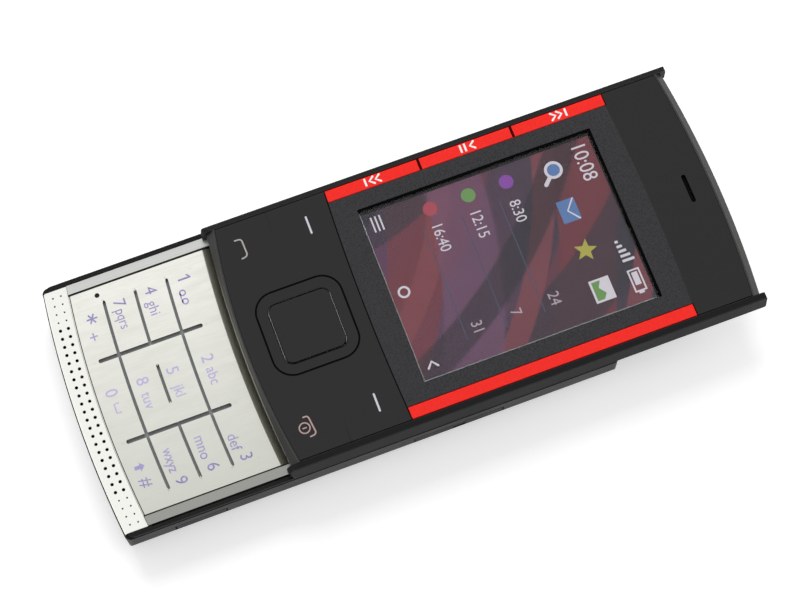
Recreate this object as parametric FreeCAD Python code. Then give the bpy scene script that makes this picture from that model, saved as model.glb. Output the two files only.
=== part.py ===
import FreeCAD, Part
import math
import os

# Slider phone, lying on its back and slid open. Millimetres.
# X runs across the phone, Y along it towards the earpiece, Z up from the surface it lies on.
# The origin is on that surface, under the middle of the open phone.

os.makedirs("parts", exist_ok=True)
V = FreeCAD.Vector

# Overall sizes
base_length = 96.0
base_width = 49.3
base_height = 10.05
slide_thickness = 4.05
slide_travel = 27.2
end_bow = 200.0
far_reach = 400.0

# Clearances
kerf = 0.05
seat_gap = 0.05
fit_gap = 0.1
panel_gap = 0.12
running_gap = 0.15
key_travel = 0.25
key_under_gap = 0.05

# Lower half, shell
back_edge_radius = 5.4
end_edge_radius = 3.6
base_corner_radius = 1.2
shell_wall = 1.0
rim_depth = 0.75
rim_inset = 0.12
skirt_depth = 1.3
deck_drop = 0.15
can_gap = 0.15
bay_floor_thickness = 0.5
deck_thickness = 0.8

# Battery and its cover
cover_start = 11.5
cover_end = 22.5
cover_wall = 0.9
cover_edge_height = 3.2
battery_lead = 4.0
battery_tail = 5.0
battery_width = 34.0
battery_lift = 0.3
battery_gap = 0.2
battery_corner = 1.5
connector_width = 9.0
connector_depth = 3.0
connector_height = 4.2
contact_count = 3
contact_half = 0.9
contact_depth = 0.15
contact_low = 1.4
contact_high = 3.4
blade_half = 0.5
sim_length = 15.2
sim_width = 12.8
sim_offset_x = -7.0
sim_offset_y = 26.0
sim_rim = 1.6
sim_pocket_depth = 1.0

# Keypad sheet
sheet_thickness = 0.3
sheet_rise = 0.05
sheet_side = 3.22
grille_line = 4.4
closed_gap = 0.2
grille_line_bow = 180.0
row_bow = 250.0
top_margin = 2.83
row_pitch_high = 6.01
row_pitch_low = 5.92
bottom_row = 4.54
bottom_margin = 1.85
row_slot_width = 0.55
slot_end_margin = 0.51
short_slot_half = 3.56
column_slot_x = 7.92
column_slot_width = 0.75
column_top_margin = 0.6
column_bottom_margin = 0.81
tongue_side = 2.63
ramp_reveal = 1.6
ramp_length = 1.5
ramp_drop = 0.5
ramp_bow = 216.0
ramp_sweep = 8.0
sheet_tuck = 2.7

# Mat, domes and board
mat_thickness = 0.4
mat_margin = 0.3
pip_radius = 1.2
dome_radius = 2.2
dome_margin = 0.5
dome_height = 0.03
dome_sheet_thickness = 0.15
pip_height = 0.17
board_thickness = 0.8
board_side = 3.45
board_lead = 0.3
board_tail = 14.4
board_well_margin = 1.2
can_height = 1.2
can_wall = 0.2
large_can = (-17.0, 4.0, 33.6, 7.6)
small_can = (6.0, 17.0, 29.6, 11.6)
mic_side = 1.52
mic_offset = 10.68
mic_hole_radius = 0.45
mic_radius = 1.5
mic_height = 0.75
mic_port_depth = 0.3
screw_head_radius = 1.1
screw_head_height = 0.3
screw_shank_radius = 0.55
screw_fit = 0.01
screw_bite = 0.35
screw_row_low = 7.6
screw_row_end = 3.6
screw_side = 4.75
boss_radius = 1.7

# Speaker grille strip
grille_side = 1.15
grille_thickness = 0.3
grille_fold_height = 1.3
grille_fold_inset = 0.25
grille_bend_radius = 0.5
hole_pitch = 1.583
hole_count = 29
dimple_count = 4
hole_radius = 0.31
dimple_radius = 0.2
dimple_depth = 0.1
hole_bow = 205.0
inner_row = 3.32
outer_row = 1.82
duct_margin = 0.5

# Rails and the hooks that grip them
rail_gap = 0.29
rail_width = 1.76
rail_rise = 0.45
rail_lip = 0.5
rail_lip_overhang = 0.48
rail_bevel = 0.12
channel_depth = 0.45
hook_side_gap = 0.11
rail_far_margin = 0.9
hook_sheet = 0.18
hook_gap = 0.08
hook_foot = 0.6
hook_foot_gap = 0.12
carrier_thickness = 0.22
carrier_gap = 0.08
carrier_screw_side = 1.2
carrier_screw_lead = 2.0
carrier_screw_tail = 4.3
carrier_head_height = 0.18
stop_length = 0.35

# Side keys
side_key_height = 2.2
side_key_z = 6.0
side_key_depth = 1.6
side_key_inset = 0.02
side_key_edge = 0.3
rocker_dent_half = 1.2
rocker_dent_depth = 0.15
volume_length = 16.9
volume_middle = 63.75
camera_key_length = 9.5
camera_key_middle = 15.05
side_pocket_depth = 2.1

# Sockets and inner pieces of the lower half
jack_side = 11.65
jack_body = 6.0
jack_back_wall = 0.77
jack_bore_radius = 1.8
jack_bore_length = 12.4
jack_nose_radius = 2.5
jack_overlap = 1.0
jack_nose_inset = 0.45
usb_x = -8.0
usb_z = 5.3
usb_width = 7.4
usb_height = 2.6
usb_length = 6.3
usb_wall = 0.25
usb_inset = 0.6
usb_back = 1.2
usb_tongue = 0.7
usb_tongue_margin = 1.5
camera_tail = 10.4
camera_body = 8.5
camera_barrel_radius = 3.1
camera_window_radius = 4.2
camera_window_thickness = 0.6
camera_window_inset = 0.15
camera_body_height = 3.2
camera_barrel_height = 1.8
camera_cone_wide = 2.3
camera_cone_narrow = 1.2
camera_cone_depth = 0.8
motor_side = 9.65
motor_lead = 0.8
motor_length = 7.5
motor_radius = 2.0
weight_length = 2.5
weight_gap = 0.3
weight_cut = 0.4
shaft_radius = 0.4
speaker_half_width = 9.0
speaker_length = 8.4
speaker_height = 3.6
speaker_start = 1.5
speaker_corner = 1.0
mouth_start = 0.8
mouth_end = 2.6
mouth_depth = 0.5
duct_side = 6.65

# Slide, shell
slide_wall_gap = 0.05
shoulder_lean = 0.53
shoulder_drop = 0.68
groove_depth = 0.15
groove_height = 0.12
face_side = 1.88
face_inset_low = 0.8
face_low_bow = 133.0
face_inset_high = 1.65
slide_low_bow = 250.0
slide_floor_gap = 0.01
slide_floor_thickness = 0.4
wall_end_radius_low = 2.4
wall_end_radius_high = 0.8
slide_corner_low = 1.4
slide_corner_high = 0.8
wall_tip_low = 0.15
wall_tip_high = 0.45
key_ledge = 0.57
display_gap = 0.3
cap_gap = 0.13
pocket_margin = 0.9
post_radius = 1.2
post_side = 3.8
post_low = 4.2
post_high = 21.4
boss_screw_margin = 0.3
cap_shoulder = 1.3
cap_top_drop = 0.05
cap_rim = 0.3
cap_overhang = 0.3
cap_room = 5.0

# Face pieces
key_thickness = 0.85
sheet_line = 23.15
sheet_line_bow = 400.0
strip_lead = 0.5
strip_tail = 0.16
strip_width = 2.28
lens_shoulder = 13.3
side_bezel = 5.48
low_bezel = 4.89
high_bezel = 4.66
window_corner = 0.3
pane_thickness = 0.5
pane_recess = 0.2
pane_gap = 0.02
ear_slot_inset = 5.65
ear_slot_length = 5.6
ear_slot_width = 0.85
nav_y = 12.36
nav_half = 7.85
nav_corner = 3.6
nav_opening_gap = 0.1
centre_half = 5.72
centre_corner = 1.5
centre_gap = 0.13
centre_recess = 0.12
centre_cap_thickness = 0.53
centre_edge = 0.25
ring_bevel = 0.25
rocker_half = 6.4
rocker_thickness = 0.14
rocker_drop = 0.2
stem_half = 2.0
stem_gap = 0.6
rocker_corner = 1.5
key_board_thickness = 0.4
key_board_drop = 0.25
key_board_side = 0.4
key_board_low = 2.6
key_board_far_gap = 0.4
display_side = 1.71
display_lead = 2.24
display_tail = 2.36
display_lens_gap = 0.1
glass_margin = 0.06
glass_rise = 0.05
key_bevel = 0.1
ear_half_width = 6.0
ear_inset = 9.6
ear_length = 6.4
ear_corner = 1.0
ear_mouth_half = 2.6

# Flex cable and spring between the halves
flex_width = 8.0
flex_x = 7.0
flex_thickness = 0.12
flex_start = 28.4
flex_turn = 3.8
flex_return = 3.0
flex_window = 6.0
flex_lift = 0.08
flex_slot_depth = 1.0
spring_radius = 0.2
spring_x = -17.0
spring_near = 52.0
spring_far = 33.0
spring_loop = 3.0
spring_small_loop = 2.0
spring_turn = 6.0
spring_end = 11.0

# Lengthwise places worked out from the sizes
base_half = base_width / 2
base_end = -(base_length + slide_travel) / 2
base_far = base_end + base_length
far_wall_inner = base_far - shell_wall
grille_edge = base_end + grille_line
slide_far = base_far + slide_travel
slide_near = grille_edge + closed_gap + slide_travel
slide_length = slide_far - slide_near
cover_low = base_end + cover_start
cover_high = base_far - cover_end
battery_low = cover_low + battery_lead
battery_high = cover_high - battery_tail
well_low = battery_low - battery_gap
well_high = battery_high + battery_gap
fold_end = base_end + grille_fold_inset
channel_far = base_far - rail_far_margin
ramp_start = slide_near - ramp_reveal - base_end
sheet_end = slide_near + sheet_tuck - base_end
row_top = ramp_start - top_margin
row_bottom = grille_line + bottom_margin
row_low = row_bottom + bottom_row
row_middle = row_low + row_pitch_low
row_edge = row_middle + row_pitch_high
column_slot_top = row_top - column_top_margin
column_slot_bottom = row_bottom + column_bottom_margin
board_low = grille_edge + board_lead
board_high = base_far - board_tail
screw_row_high = board_high - screw_row_end
screw_row_middle = (base_end + screw_row_low + screw_row_high) / 2
screw_rows = [base_end + screw_row_low, screw_row_middle, screw_row_high]
motor_low = cover_high + shell_wall + motor_lead
camera_middle = base_far - camera_tail
flex_low = base_far - flex_start
flex_high = base_far - flex_turn
volume_y = base_end + volume_middle
camera_key_y = base_end + camera_key_middle

# Widths worked out from the sizes
sheet_half_width = base_half - sheet_side
tongue_half_width = sheet_half_width - tongue_side
row_slot_half = tongue_half_width - slot_end_margin
board_half_width = base_half - board_side
screw_x = base_half - screw_side
mic_x = mic_side - sheet_half_width
grille_half_width = base_half - grille_side
duct_half_width = base_half - duct_side
rail_inner = sheet_half_width + rail_gap
rail_outer = rail_inner + rail_width
hook_inner = rail_outer + hook_gap
hook_outer = hook_inner + hook_sheet
channel_outer = hook_outer + hook_side_gap
slide_wall_inner = channel_outer + slide_wall_gap
jack_x = base_half - jack_side
motor_x = motor_side - base_half
shoulder_half_width = base_half - shoulder_lean
face_half_width = base_half - face_side
cap_half_width = face_half_width + cap_gap
rim_top_half_width = cap_half_width + seat_gap
key_pocket_half = face_half_width - key_ledge
key_board_half = key_pocket_half - key_board_side
post_x = key_board_half - post_side
strip_outer = face_half_width
strip_inner = strip_outer - strip_width
window_half_width = face_half_width - side_bezel
display_half_width = window_half_width + display_side
display_pocket_half = display_half_width + display_gap
carrier_screw_x = display_pocket_half + carrier_screw_side

# Heights worked out from the sizes
rim_height = base_height
phone_thickness = base_height + slide_thickness
seam_height = rim_height - rim_depth
skirt_bottom = seam_height - skirt_depth
deck_height = rim_height - deck_drop
sheet_height = rim_height + sheet_rise
sheet_bottom = sheet_height - sheet_thickness
mat_top = sheet_bottom - key_travel - key_under_gap
mat_bottom = mat_top - mat_thickness
board_top = mat_bottom - pip_height - dome_height - dome_sheet_thickness
board_bottom = board_top - board_thickness
board_recess = deck_height - deck_thickness
bay_floor = board_bottom - can_height - can_gap
well_roof = bay_floor - bay_floor_thickness
jack_z = skirt_bottom - fit_gap - jack_body / 2
rail_height = rim_height + rail_rise
channel_floor = rim_height - channel_depth
hook_bottom = channel_floor + hook_foot_gap
carrier_bottom = rail_height + carrier_gap
carrier_top = carrier_bottom + carrier_thickness
slide_skirt_height = rim_height + running_gap
floor_bottom = carrier_top + slide_floor_gap
floor_top = floor_bottom + slide_floor_thickness
inner_base = floor_top + seat_gap
shoulder_height = phone_thickness - shoulder_drop
key_bottom = phone_thickness - key_thickness
ledge_height = key_bottom - key_travel - key_under_gap
lens_bottom = ledge_height + seat_gap
display_top = lens_bottom - display_lens_gap
key_board_height = ledge_height - key_board_drop

# Places on the face
face_low = slide_near + face_inset_low
face_high = slide_far - face_inset_high
nav_middle = slide_near + nav_y
key_sheet_line = slide_near + sheet_line
lens_line = slide_far - lens_shoulder
strip_start = key_sheet_line + strip_lead
strip_end = lens_line - strip_tail
strip_third = (strip_end - strip_start) / 3
window_start = key_sheet_line + low_bezel
window_end = lens_line - high_bezel
ear_slot_middle = slide_far - ear_slot_inset

# The keypad's grid, from the top row down and from left to right
key_lines = [row_top, row_edge, row_middle, row_low, row_bottom]
key_columns = [-tongue_half_width, -column_slot_x, column_slot_x, tongue_half_width]


def save(name, shape):
    shape.exportStep("parts/" + name + ".step")


def make_box(x0, x1, y0, y1, z0, z1):
    return Part.makeBox(x1 - x0, y1 - y0, z1 - z0, V(x0, y0, z0))


def make_post(x, y, z0, z1, radius):
    return Part.makeCylinder(radius, z1 - z0, V(x, y, z0))


def make_slab(y0, y1, z0, z1):
    # A block that reaches past the phone's sides.
    return make_box(-far_reach, far_reach, y0, y1, z0, z1)


def both_sides(x0, x1, y0, y1, z0, z1):
    right = make_box(x0, x1, y0, y1, z0, z1)
    left = make_box(-x1, -x0, y0, y1, z0, z1)
    return [right, left]


def sag(bow, x):
    # How far a bowed end has fallen back at x; a negative bow curves the other way.
    depth = abs(bow) - math.sqrt(bow * bow - x * x)
    return math.copysign(depth, bow)


def patch(x0, x1, y_low, y_high, z0, z1, bow_low=end_bow, bow_high=end_bow):
    # A flat plate between two bowed ends; both bows are centred on the phone's middle line.
    xm = (x0 + x1) / 2
    low = [V(x, y_low + sag(bow_low, x), z0) for x in (x0, xm, x1)]
    high = [V(x, y_high - sag(bow_high, x), z0) for x in (x1, xm, x0)]
    edges = [
        Part.Arc(*low).toShape(),
        Part.LineSegment(low[2], high[0]).toShape(),
        Part.Arc(*high).toShape(),
        Part.LineSegment(high[2], low[0]).toShape(),
    ]
    return Part.Face(Part.Wire(edges)).extrude(V(0, 0, z1 - z0))


def is_upright(edge):
    a = edge.Vertexes[0].Point
    b = edge.Vertexes[-1].Point
    return abs(a.x - b.x) < 1e-6 and abs(a.y - b.y) < 1e-6 and abs(a.z - b.z) > 1e-6


def round_uprights(shape, radius, wanted=lambda point: True):
    edges = [e for e in shape.Edges if is_upright(e) and wanted(e.CenterOfMass)]
    return shape.makeFillet(radius, edges)


def rounded_square(x, y, half, corner, z0, z1):
    block = make_box(x - half, x + half, y - half, y + half, z0, z1)
    return round_uprights(block, corner)


def polygon_prism(points, direction):
    face = Part.Face(Part.makePolygon(points + [points[0]]))
    return face.extrude(direction)


def clean(shape):
    return shape.removeSplitter()


def end_limit(y_mid, side, bow, z_low, z_high, edge_radius):
    # A disc of the end's bow, with its lower edge rounded; side is -1 at the low end, 1 at the far end.
    centre = y_mid - side * bow
    away = -side
    points = [V(0, 0, z_low), V(0, away * (bow - edge_radius), z_low), V(0, away * bow, z_low + edge_radius)]
    points = points + [V(0, away * bow, z_high), V(0, 0, z_high)]
    bend = edge_radius * (1 - math.sqrt(0.5))
    middle = V(0, away * (bow - bend), z_low + bend)
    edges = [
        Part.LineSegment(points[0], points[1]).toShape(),
        Part.Arc(points[1], middle, points[2]).toShape(),
        Part.LineSegment(points[2], points[3]).toShape(),
        Part.LineSegment(points[3], points[4]).toShape(),
        Part.LineSegment(points[4], points[0]).toShape(),
    ]
    disc = Part.Face(Part.Wire(edges)).revolve(V(0, 0, 0), V(0, 0, 1), 360)
    disc.translate(V(0, centre, 0))
    return disc


def base_body(inset, z_high):
    # The lower half's rounded body, taken in all round by the inset.
    half = base_half - inset
    radius = back_edge_radius - inset
    bend = radius * (1 - math.sqrt(0.5))
    y0 = -far_reach / 2
    low = [V(-half + radius, y0, inset), V(half - radius, y0, inset)]
    right = [V(half, y0, inset + radius), V(half, y0, z_high)]
    left = [V(-half, y0, z_high), V(-half, y0, inset + radius)]
    edges = [
        Part.LineSegment(low[0], low[1]).toShape(),
        Part.Arc(low[1], V(half - bend, y0, inset + bend), right[0]).toShape(),
        Part.LineSegment(right[0], right[1]).toShape(),
        Part.LineSegment(right[1], left[0]).toShape(),
        Part.LineSegment(left[0], left[1]).toShape(),
        Part.Arc(left[1], V(-half + bend, y0, inset + bend), low[0]).toShape(),
    ]
    body = Part.Face(Part.Wire(edges)).extrude(V(0, far_reach, 0))
    end_radius = end_edge_radius - inset
    body = body.common(end_limit(base_end + inset, -1, end_bow - inset, inset, z_high, end_radius))
    body = body.common(end_limit(base_far - inset, 1, end_bow - inset, inset, z_high, end_radius))
    plan = patch(-half, half, base_end + inset, base_far - inset, 0, z_high)
    corner = max(base_corner_radius - inset, 0.2)
    return body.common(round_uprights(plan, corner))


def cover_zone(extra):
    return make_slab(cover_low - extra, cover_high + extra, -1, cover_edge_height + extra)


def make_battery_cover():
    shell = base_body(0, seam_height).cut(base_body(cover_wall, seam_height))
    save("battery_cover", shell.common(cover_zone(0)))


def side_key_pocket(y_mid, length):
    x0 = base_half - side_pocket_depth
    half_y = length / 2 + panel_gap
    half_z = side_key_height / 2 + panel_gap
    z0 = side_key_z - half_z
    return make_box(x0, base_half + 1, y_mid - half_y, y_mid + half_y, z0, side_key_z + half_z)


def board_screw_places():
    return [(x, y) for y in screw_rows for x in (-screw_x, screw_x)]


def make_lower_frame():
    frame = base_body(0, seam_height)
    inside = base_body(shell_wall, seam_height + 1)
    bay = inside.common(make_slab(-far_reach, far_reach, bay_floor, seam_height + 1))
    near_pocket = inside.common(make_slab(-far_reach, cover_low - shell_wall, 0, bay_floor))
    far_pocket = inside.common(make_slab(cover_high + shell_wall, far_reach, 0, bay_floor))
    half = battery_width / 2 + battery_gap
    well = make_box(-half, half, well_low, well_high, -1, well_roof)
    skin = base_body(0, seam_height).cut(base_body(cover_wall + seat_gap, seam_height))
    skin = skin.common(cover_zone(fit_gap))
    cuts = [bay, near_pocket, far_pocket, well, skin]
    half_plug = connector_width / 2 + fit_gap
    plug_far = well_high + connector_depth + fit_gap
    plug_low = well_roof - connector_height
    cuts.append(make_box(-half_plug, half_plug, well_high - 1, plug_far, plug_low, well_roof))
    sim_y = battery_low + sim_offset_y
    sim = make_box(-sim_length / 2, sim_length / 2, -sim_width / 2, sim_width / 2,
                   bay_floor - sim_pocket_depth, bay_floor + 1)
    sim.translate(V(sim_offset_x, sim_y, 0))
    cuts.append(sim)
    cuts.append(make_post(0, camera_middle, -1, shell_wall + 1, camera_barrel_radius + panel_gap))
    seat_top = camera_window_inset + camera_window_thickness
    cuts.append(make_post(0, camera_middle, -1, seat_top + seat_gap, camera_window_radius + fit_gap))
    jack_inner = V(jack_x, far_wall_inner - end_edge_radius, jack_z)
    cuts.append(Part.makeCylinder(jack_nose_radius + fit_gap, far_reach, jack_inner, V(0, 1, 0)))
    half_usb = usb_width / 2 + fit_gap
    usb_tall = usb_height / 2 + fit_gap
    usb_inner = far_wall_inner - end_edge_radius
    usb = make_box(-half_usb, half_usb, usb_inner, base_far + 1, usb_z - usb_tall, usb_z + usb_tall)
    usb.translate(V(usb_x, 0, 0))
    cuts.append(usb)
    cuts.append(side_key_pocket(volume_y, volume_length))
    cuts.append(side_key_pocket(camera_key_y, camera_key_length))
    half_fold = grille_half_width + seat_gap
    fold_low = rim_height - grille_fold_height - seat_gap
    fold_inner = fold_end + grille_thickness + seat_gap
    fold = patch(-half_fold, half_fold, base_end - 1, fold_inner, fold_low, rim_height, end_bow, -end_bow)
    cuts.append(fold)
    frame = frame.cut(Part.makeCompound(cuts))
    bosses = [make_post(x, y, shell_wall, board_bottom, boss_radius) for x, y in board_screw_places()]
    holes = [make_post(x, y, bay_floor - 2 * screw_bite, seam_height, screw_shank_radius + screw_fit)
             for x, y in board_screw_places()]
    save("lower_frame", clean(frame.fuse(bosses).cut(Part.makeCompound([skin] + holes))))


def make_upper_frame():
    rim_low = base_end + grille_fold_inset + grille_thickness + panel_gap
    rim_half = base_half - rim_inset
    rim = patch(-rim_half, rim_half, rim_low, base_far - rim_inset, seam_height + seat_gap, rim_height)
    rim = round_uprights(rim, base_corner_radius)
    skirt = base_body(shell_wall + fit_gap, seam_height + seat_gap + 0.01)
    skirt = skirt.common(make_slab(-far_reach, far_reach, skirt_bottom, seam_height + 1))
    frame = rim.fuse(skirt)
    well_half = sheet_half_width + panel_gap
    sheet_far = base_end + sheet_end
    above = rim_height + 1
    key_well = patch(-well_half, well_half, grille_edge, sheet_far + fit_gap, skirt_bottom - 1, above,
                     grille_line_bow, -ramp_bow)
    deck_well = make_box(-well_half, well_half, sheet_far, base_far - shell_wall, deck_height, above)
    half_board = board_half_width + fit_gap
    well_start = board_low - board_well_margin
    board_well = make_box(-half_board, half_board, well_start, board_high + fit_gap, 0, board_recess)
    half = grille_half_width + seat_gap
    seat = rim_height - grille_thickness - seat_gap
    grille_seat = patch(-half, half, base_end - 1, grille_edge, seat, above, end_bow, -grille_line_bow)
    duct = patch(-duct_half_width, duct_half_width, base_end + outer_row - duct_margin,
                 base_end + inner_row + duct_margin, 0, rim_height, hole_bow, -hole_bow)
    cuts = [key_well, deck_well, board_well, grille_seat, duct]
    inner = sheet_half_width + fit_gap
    for side in (-1, 1):
        x0, x1 = sorted((side * inner, side * channel_outer))
        cuts.append(patch(x0, x1, grille_edge + seat_gap, channel_far, channel_floor, above, grille_line_bow,
                          end_bow))
    half_slot = flex_width / 2 + fit_gap
    slot_high = flex_low + flex_slot_depth / 2
    slot_low = slot_high - flex_slot_depth
    cuts.append(make_box(flex_x - half_slot, flex_x + half_slot, slot_low, slot_high, 0, rim_height))
    for x, y in board_screw_places():
        cuts.append(make_post(x, y, 0, board_top + screw_head_height + fit_gap, screw_head_radius + fit_gap))
    frame = frame.cut(Part.makeCompound(cuts))
    save("upper_frame", clean(frame))


def row_slot(row, x0, x1):
    y = base_end + row
    half = row_slot_width / 2
    band = patch(x0, x1, y - half, y + half, sheet_bottom - 1, sheet_height + 1, row_bow, -row_bow)
    ends = [make_post(x, y + sag(row_bow, x), sheet_bottom - 1, sheet_height + 1, half) for x in (x0, x1)]
    return band.fuse(ends)


def column_slot(x):
    half = column_slot_width / 2
    y0 = base_end + column_slot_bottom + half
    y1 = base_end + column_slot_top - half
    slot = make_box(x - half, x + half, y0, y1, sheet_bottom - 1, sheet_height + 1)
    ends = [make_post(x, y, sheet_bottom - 1, sheet_height + 1, half) for y in (y0, y1)]
    return slot.fuse(ends)


def sheet_slots():
    slots = [row_slot(row_edge, -row_slot_half, row_slot_half)]
    slots.append(row_slot(row_low, -row_slot_half, row_slot_half))
    slots.append(row_slot(row_middle, -row_slot_half, -column_slot_x))
    slots.append(row_slot(row_middle, column_slot_x, row_slot_half))
    slots.append(row_slot(row_middle, -short_slot_half, short_slot_half))
    slots.append(column_slot(-column_slot_x))
    slots.append(column_slot(column_slot_x))
    return slots[0].fuse(slots[1:])


def sheet_blank():
    # Flat brushed sheet whose far edge turns down a ramp and passes under the slide.
    mid = base_end + ramp_start
    centre = mid + ramp_bow
    r_flat = ramp_bow
    r_low = ramp_bow - ramp_length
    r_end = centre - (base_end + sheet_end)
    r_out = centre - base_end
    run = [(-r_out, 0), (-r_flat, 0), (-r_low, ramp_drop), (-r_end, ramp_drop)]
    under = [V(0, y, sheet_bottom - drop) for y, drop in run]
    over = [V(0, y, sheet_height - drop) for y, drop in reversed(run)]
    face = Part.Face(Part.makePolygon(under + over + [under[0]]))
    face.rotate(V(0, 0, 0), V(0, 0, 1), -ramp_sweep)
    blank = face.revolve(V(0, 0, 0), V(0, 0, 1), 2 * ramp_sweep)
    blank.translate(V(0, centre, 0))
    limit = patch(-sheet_half_width, sheet_half_width, grille_edge + seat_gap, base_end + sheet_end + 5,
                  0, sheet_height + 1, grille_line_bow, end_bow)
    return blank.common(limit)


def key_zone(x0, x1, low, high, grow):
    # The outline of one key's tongue, from one row line to the next.
    return patch(x0 - grow, x1 + grow, base_end + low - grow, base_end + high + grow, sheet_bottom - 1,
                 sheet_height + 1, row_bow, -row_bow)


def key_names():
    return [["key_1", "key_2", "key_3"], ["key_4", "key_5", "key_6"], ["key_7", "key_8", "key_9"],
            ["key_star", "key_0", "key_hash"]]


def make_keypad():
    blank = sheet_blank()
    slots = sheet_slots()
    for r, names in enumerate(key_names()):
        for c, name in enumerate(names):
            zone = key_zone(key_columns[c], key_columns[c + 1], key_lines[r + 1], key_lines[r], -kerf / 2)
            save(name, clean(blank.common(zone).cut(slots)))
    whole = key_zone(-tongue_half_width, tongue_half_width, row_bottom, row_top, kerf / 2)
    sheet = blank.cut(whole).cut(slots)
    mic = make_post(mic_x, base_end + mic_offset, 0, sheet_height + 1, mic_hole_radius)
    save("keypad_sheet", clean(sheet.cut(mic)))


def key_centres():
    ys = [base_end + (high + low) / 2 for high, low in zip(key_lines, key_lines[1:])]
    xs = [(left + right) / 2 for left, right in zip(key_columns, key_columns[1:])]
    return [(x, y) for y in ys for x in xs]


def make_keypad_mat():
    half = sheet_half_width - fit_gap
    far = base_end + ramp_start - mat_margin
    mat = patch(-half, half, grille_edge + fit_gap, far, mat_bottom, sheet_bottom, grille_line_bow, -ramp_bow)
    half_press = tongue_half_width + mat_margin
    low = base_end + row_bottom - mat_margin
    high = base_end + row_top + mat_margin
    mat = mat.cut(patch(-half_press, half_press, low, high, mat_top, sheet_bottom + 1, row_bow, -row_bow))
    mat = mat.cut(make_post(mic_x, base_end + mic_offset, 0, sheet_height, mic_radius + fit_gap))
    pips = [make_post(x, y, mat_bottom - pip_height, mat_bottom, pip_radius) for x, y in key_centres()]
    save("keypad_mat", mat.fuse(pips))


def make_dome_sheet():
    half = tongue_half_width - dome_margin
    low = base_end + row_bottom + dome_margin
    high = base_end + row_top
    sheet = make_box(-half, half, low, high, board_top, board_top + dome_sheet_thickness)
    z = board_top + dome_sheet_thickness
    domes = [make_post(x, y, z, z + dome_height, dome_radius) for x, y in key_centres()]
    save("dome_sheet", sheet.fuse(domes))


def make_main_board():
    board = make_box(-board_half_width, board_half_width, board_low, board_high, board_bottom, board_top)
    radius = screw_shank_radius + seat_gap
    holes = [make_post(x, y, 0, board_top + 1, radius) for x, y in board_screw_places()]
    save("main_board", board.cut(Part.makeCompound(holes)))


def shield_can(x0, x1, start, end):
    w = can_wall
    z0 = board_bottom - can_height
    y0 = board_high - start
    y1 = board_high - end
    can = make_box(x0, x1, y0, y1, z0, board_bottom)
    return can.cut(make_box(x0 + w, x1 - w, y0 + w, y1 - w, z0 + w, board_bottom + 1))


def make_shield_cans():
    save("shield_cans", Part.makeCompound([shield_can(*large_can), shield_can(*small_can)]))


def make_board_screws():
    screws = []
    recess = board_top + screw_head_height / 2
    for x, y in board_screw_places():
        head = make_post(x, y, board_top, board_top + screw_head_height, screw_head_radius)
        head = head.cut(make_post(x, y, recess, board_top + 1, screw_head_radius / 2))
        shank = make_post(x, y, bay_floor - screw_bite, board_top, screw_shank_radius)
        screws.append(head.fuse(shank))
    save("board_screws", Part.makeCompound(screws))


def make_battery():
    half = battery_width / 2
    z1 = well_roof - battery_gap
    block = make_box(-half, half, battery_low, battery_high, cover_wall + battery_lift, z1)
    block = round_uprights(block, battery_corner)
    y0 = battery_high - contact_depth
    z0 = z1 - contact_high
    pads = [make_box(x - contact_half, x + contact_half, y0, battery_high + 1, z0, z1 - contact_low)
            for x in contact_places()]
    save("battery", block.cut(Part.makeCompound(pads)))


def contact_places():
    pitch = connector_width / contact_count
    return [(i - (contact_count - 1) / 2) * pitch for i in range(contact_count)]


def make_battery_connector():
    half = connector_width / 2
    z1 = well_roof - seat_gap
    z0 = well_roof - connector_height + seat_gap
    block = make_box(-half, half, well_high, well_high + connector_depth, z0, z1)
    y0 = battery_high + seat_gap
    y1 = well_high + blade_half
    low = z1 - contact_high + blade_half
    high = z1 - contact_low - blade_half
    blades = [make_box(x - blade_half, x + blade_half, y0, y1, low, high) for x in contact_places()]
    save("battery_connector", block.fuse(blades))


def make_sim_holder():
    x = sim_length / 2 - fit_gap
    y = sim_width / 2 - fit_gap
    plate = make_box(-x, x, -y, y, well_roof + seat_gap, bay_floor - seat_gap)
    window = make_box(-x + sim_rim, x - sim_rim, -y + sim_rim, y - sim_rim, 0, bay_floor + 1)
    plate = plate.cut(window)
    plate.translate(V(sim_offset_x, battery_low + sim_offset_y, 0))
    save("sim_holder", plate)


def make_vibration_motor():
    y0 = motor_low
    z = shell_wall + motor_radius + seat_gap
    can = Part.makeCylinder(motor_radius, motor_length, V(motor_x, y0, z), V(0, 1, 0))
    y1 = y0 + motor_length
    y2 = y1 + weight_gap
    shaft = Part.makeCylinder(shaft_radius, weight_gap + weight_length, V(motor_x, y1, z), V(0, 1, 0))
    weight = Part.makeCylinder(motor_radius - weight_cut / 2, weight_length, V(motor_x, y2, z), V(0, 1, 0))
    weight = weight.cut(make_box(motor_x - motor_radius, motor_x + motor_radius, y1, y1 + 2 * weight_length,
                                 z + weight_cut, z + motor_radius))
    save("vibration_motor", can.fuse([shaft, weight]))


def make_loudspeaker():
    y0 = base_end + speaker_start
    z1 = board_bottom - fit_gap
    body = make_box(-speaker_half_width, speaker_half_width, y0, y0 + speaker_length, z1 - speaker_height, z1)
    body = round_uprights(body, speaker_corner)
    mouth_half = speaker_half_width - speaker_corner
    mouth = make_box(-mouth_half, mouth_half, y0 + mouth_start, y0 + mouth_end, z1 - mouth_depth, z1 + 1)
    save("loudspeaker", body.cut(mouth))


def make_microphone():
    y = base_end + mic_offset
    body = make_post(mic_x, y, board_top, board_top + mic_height, mic_radius)
    top = board_top + mic_height
    save("microphone", body.cut(make_post(mic_x, y, top - mic_port_depth, top + 1, mic_hole_radius)))


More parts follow.
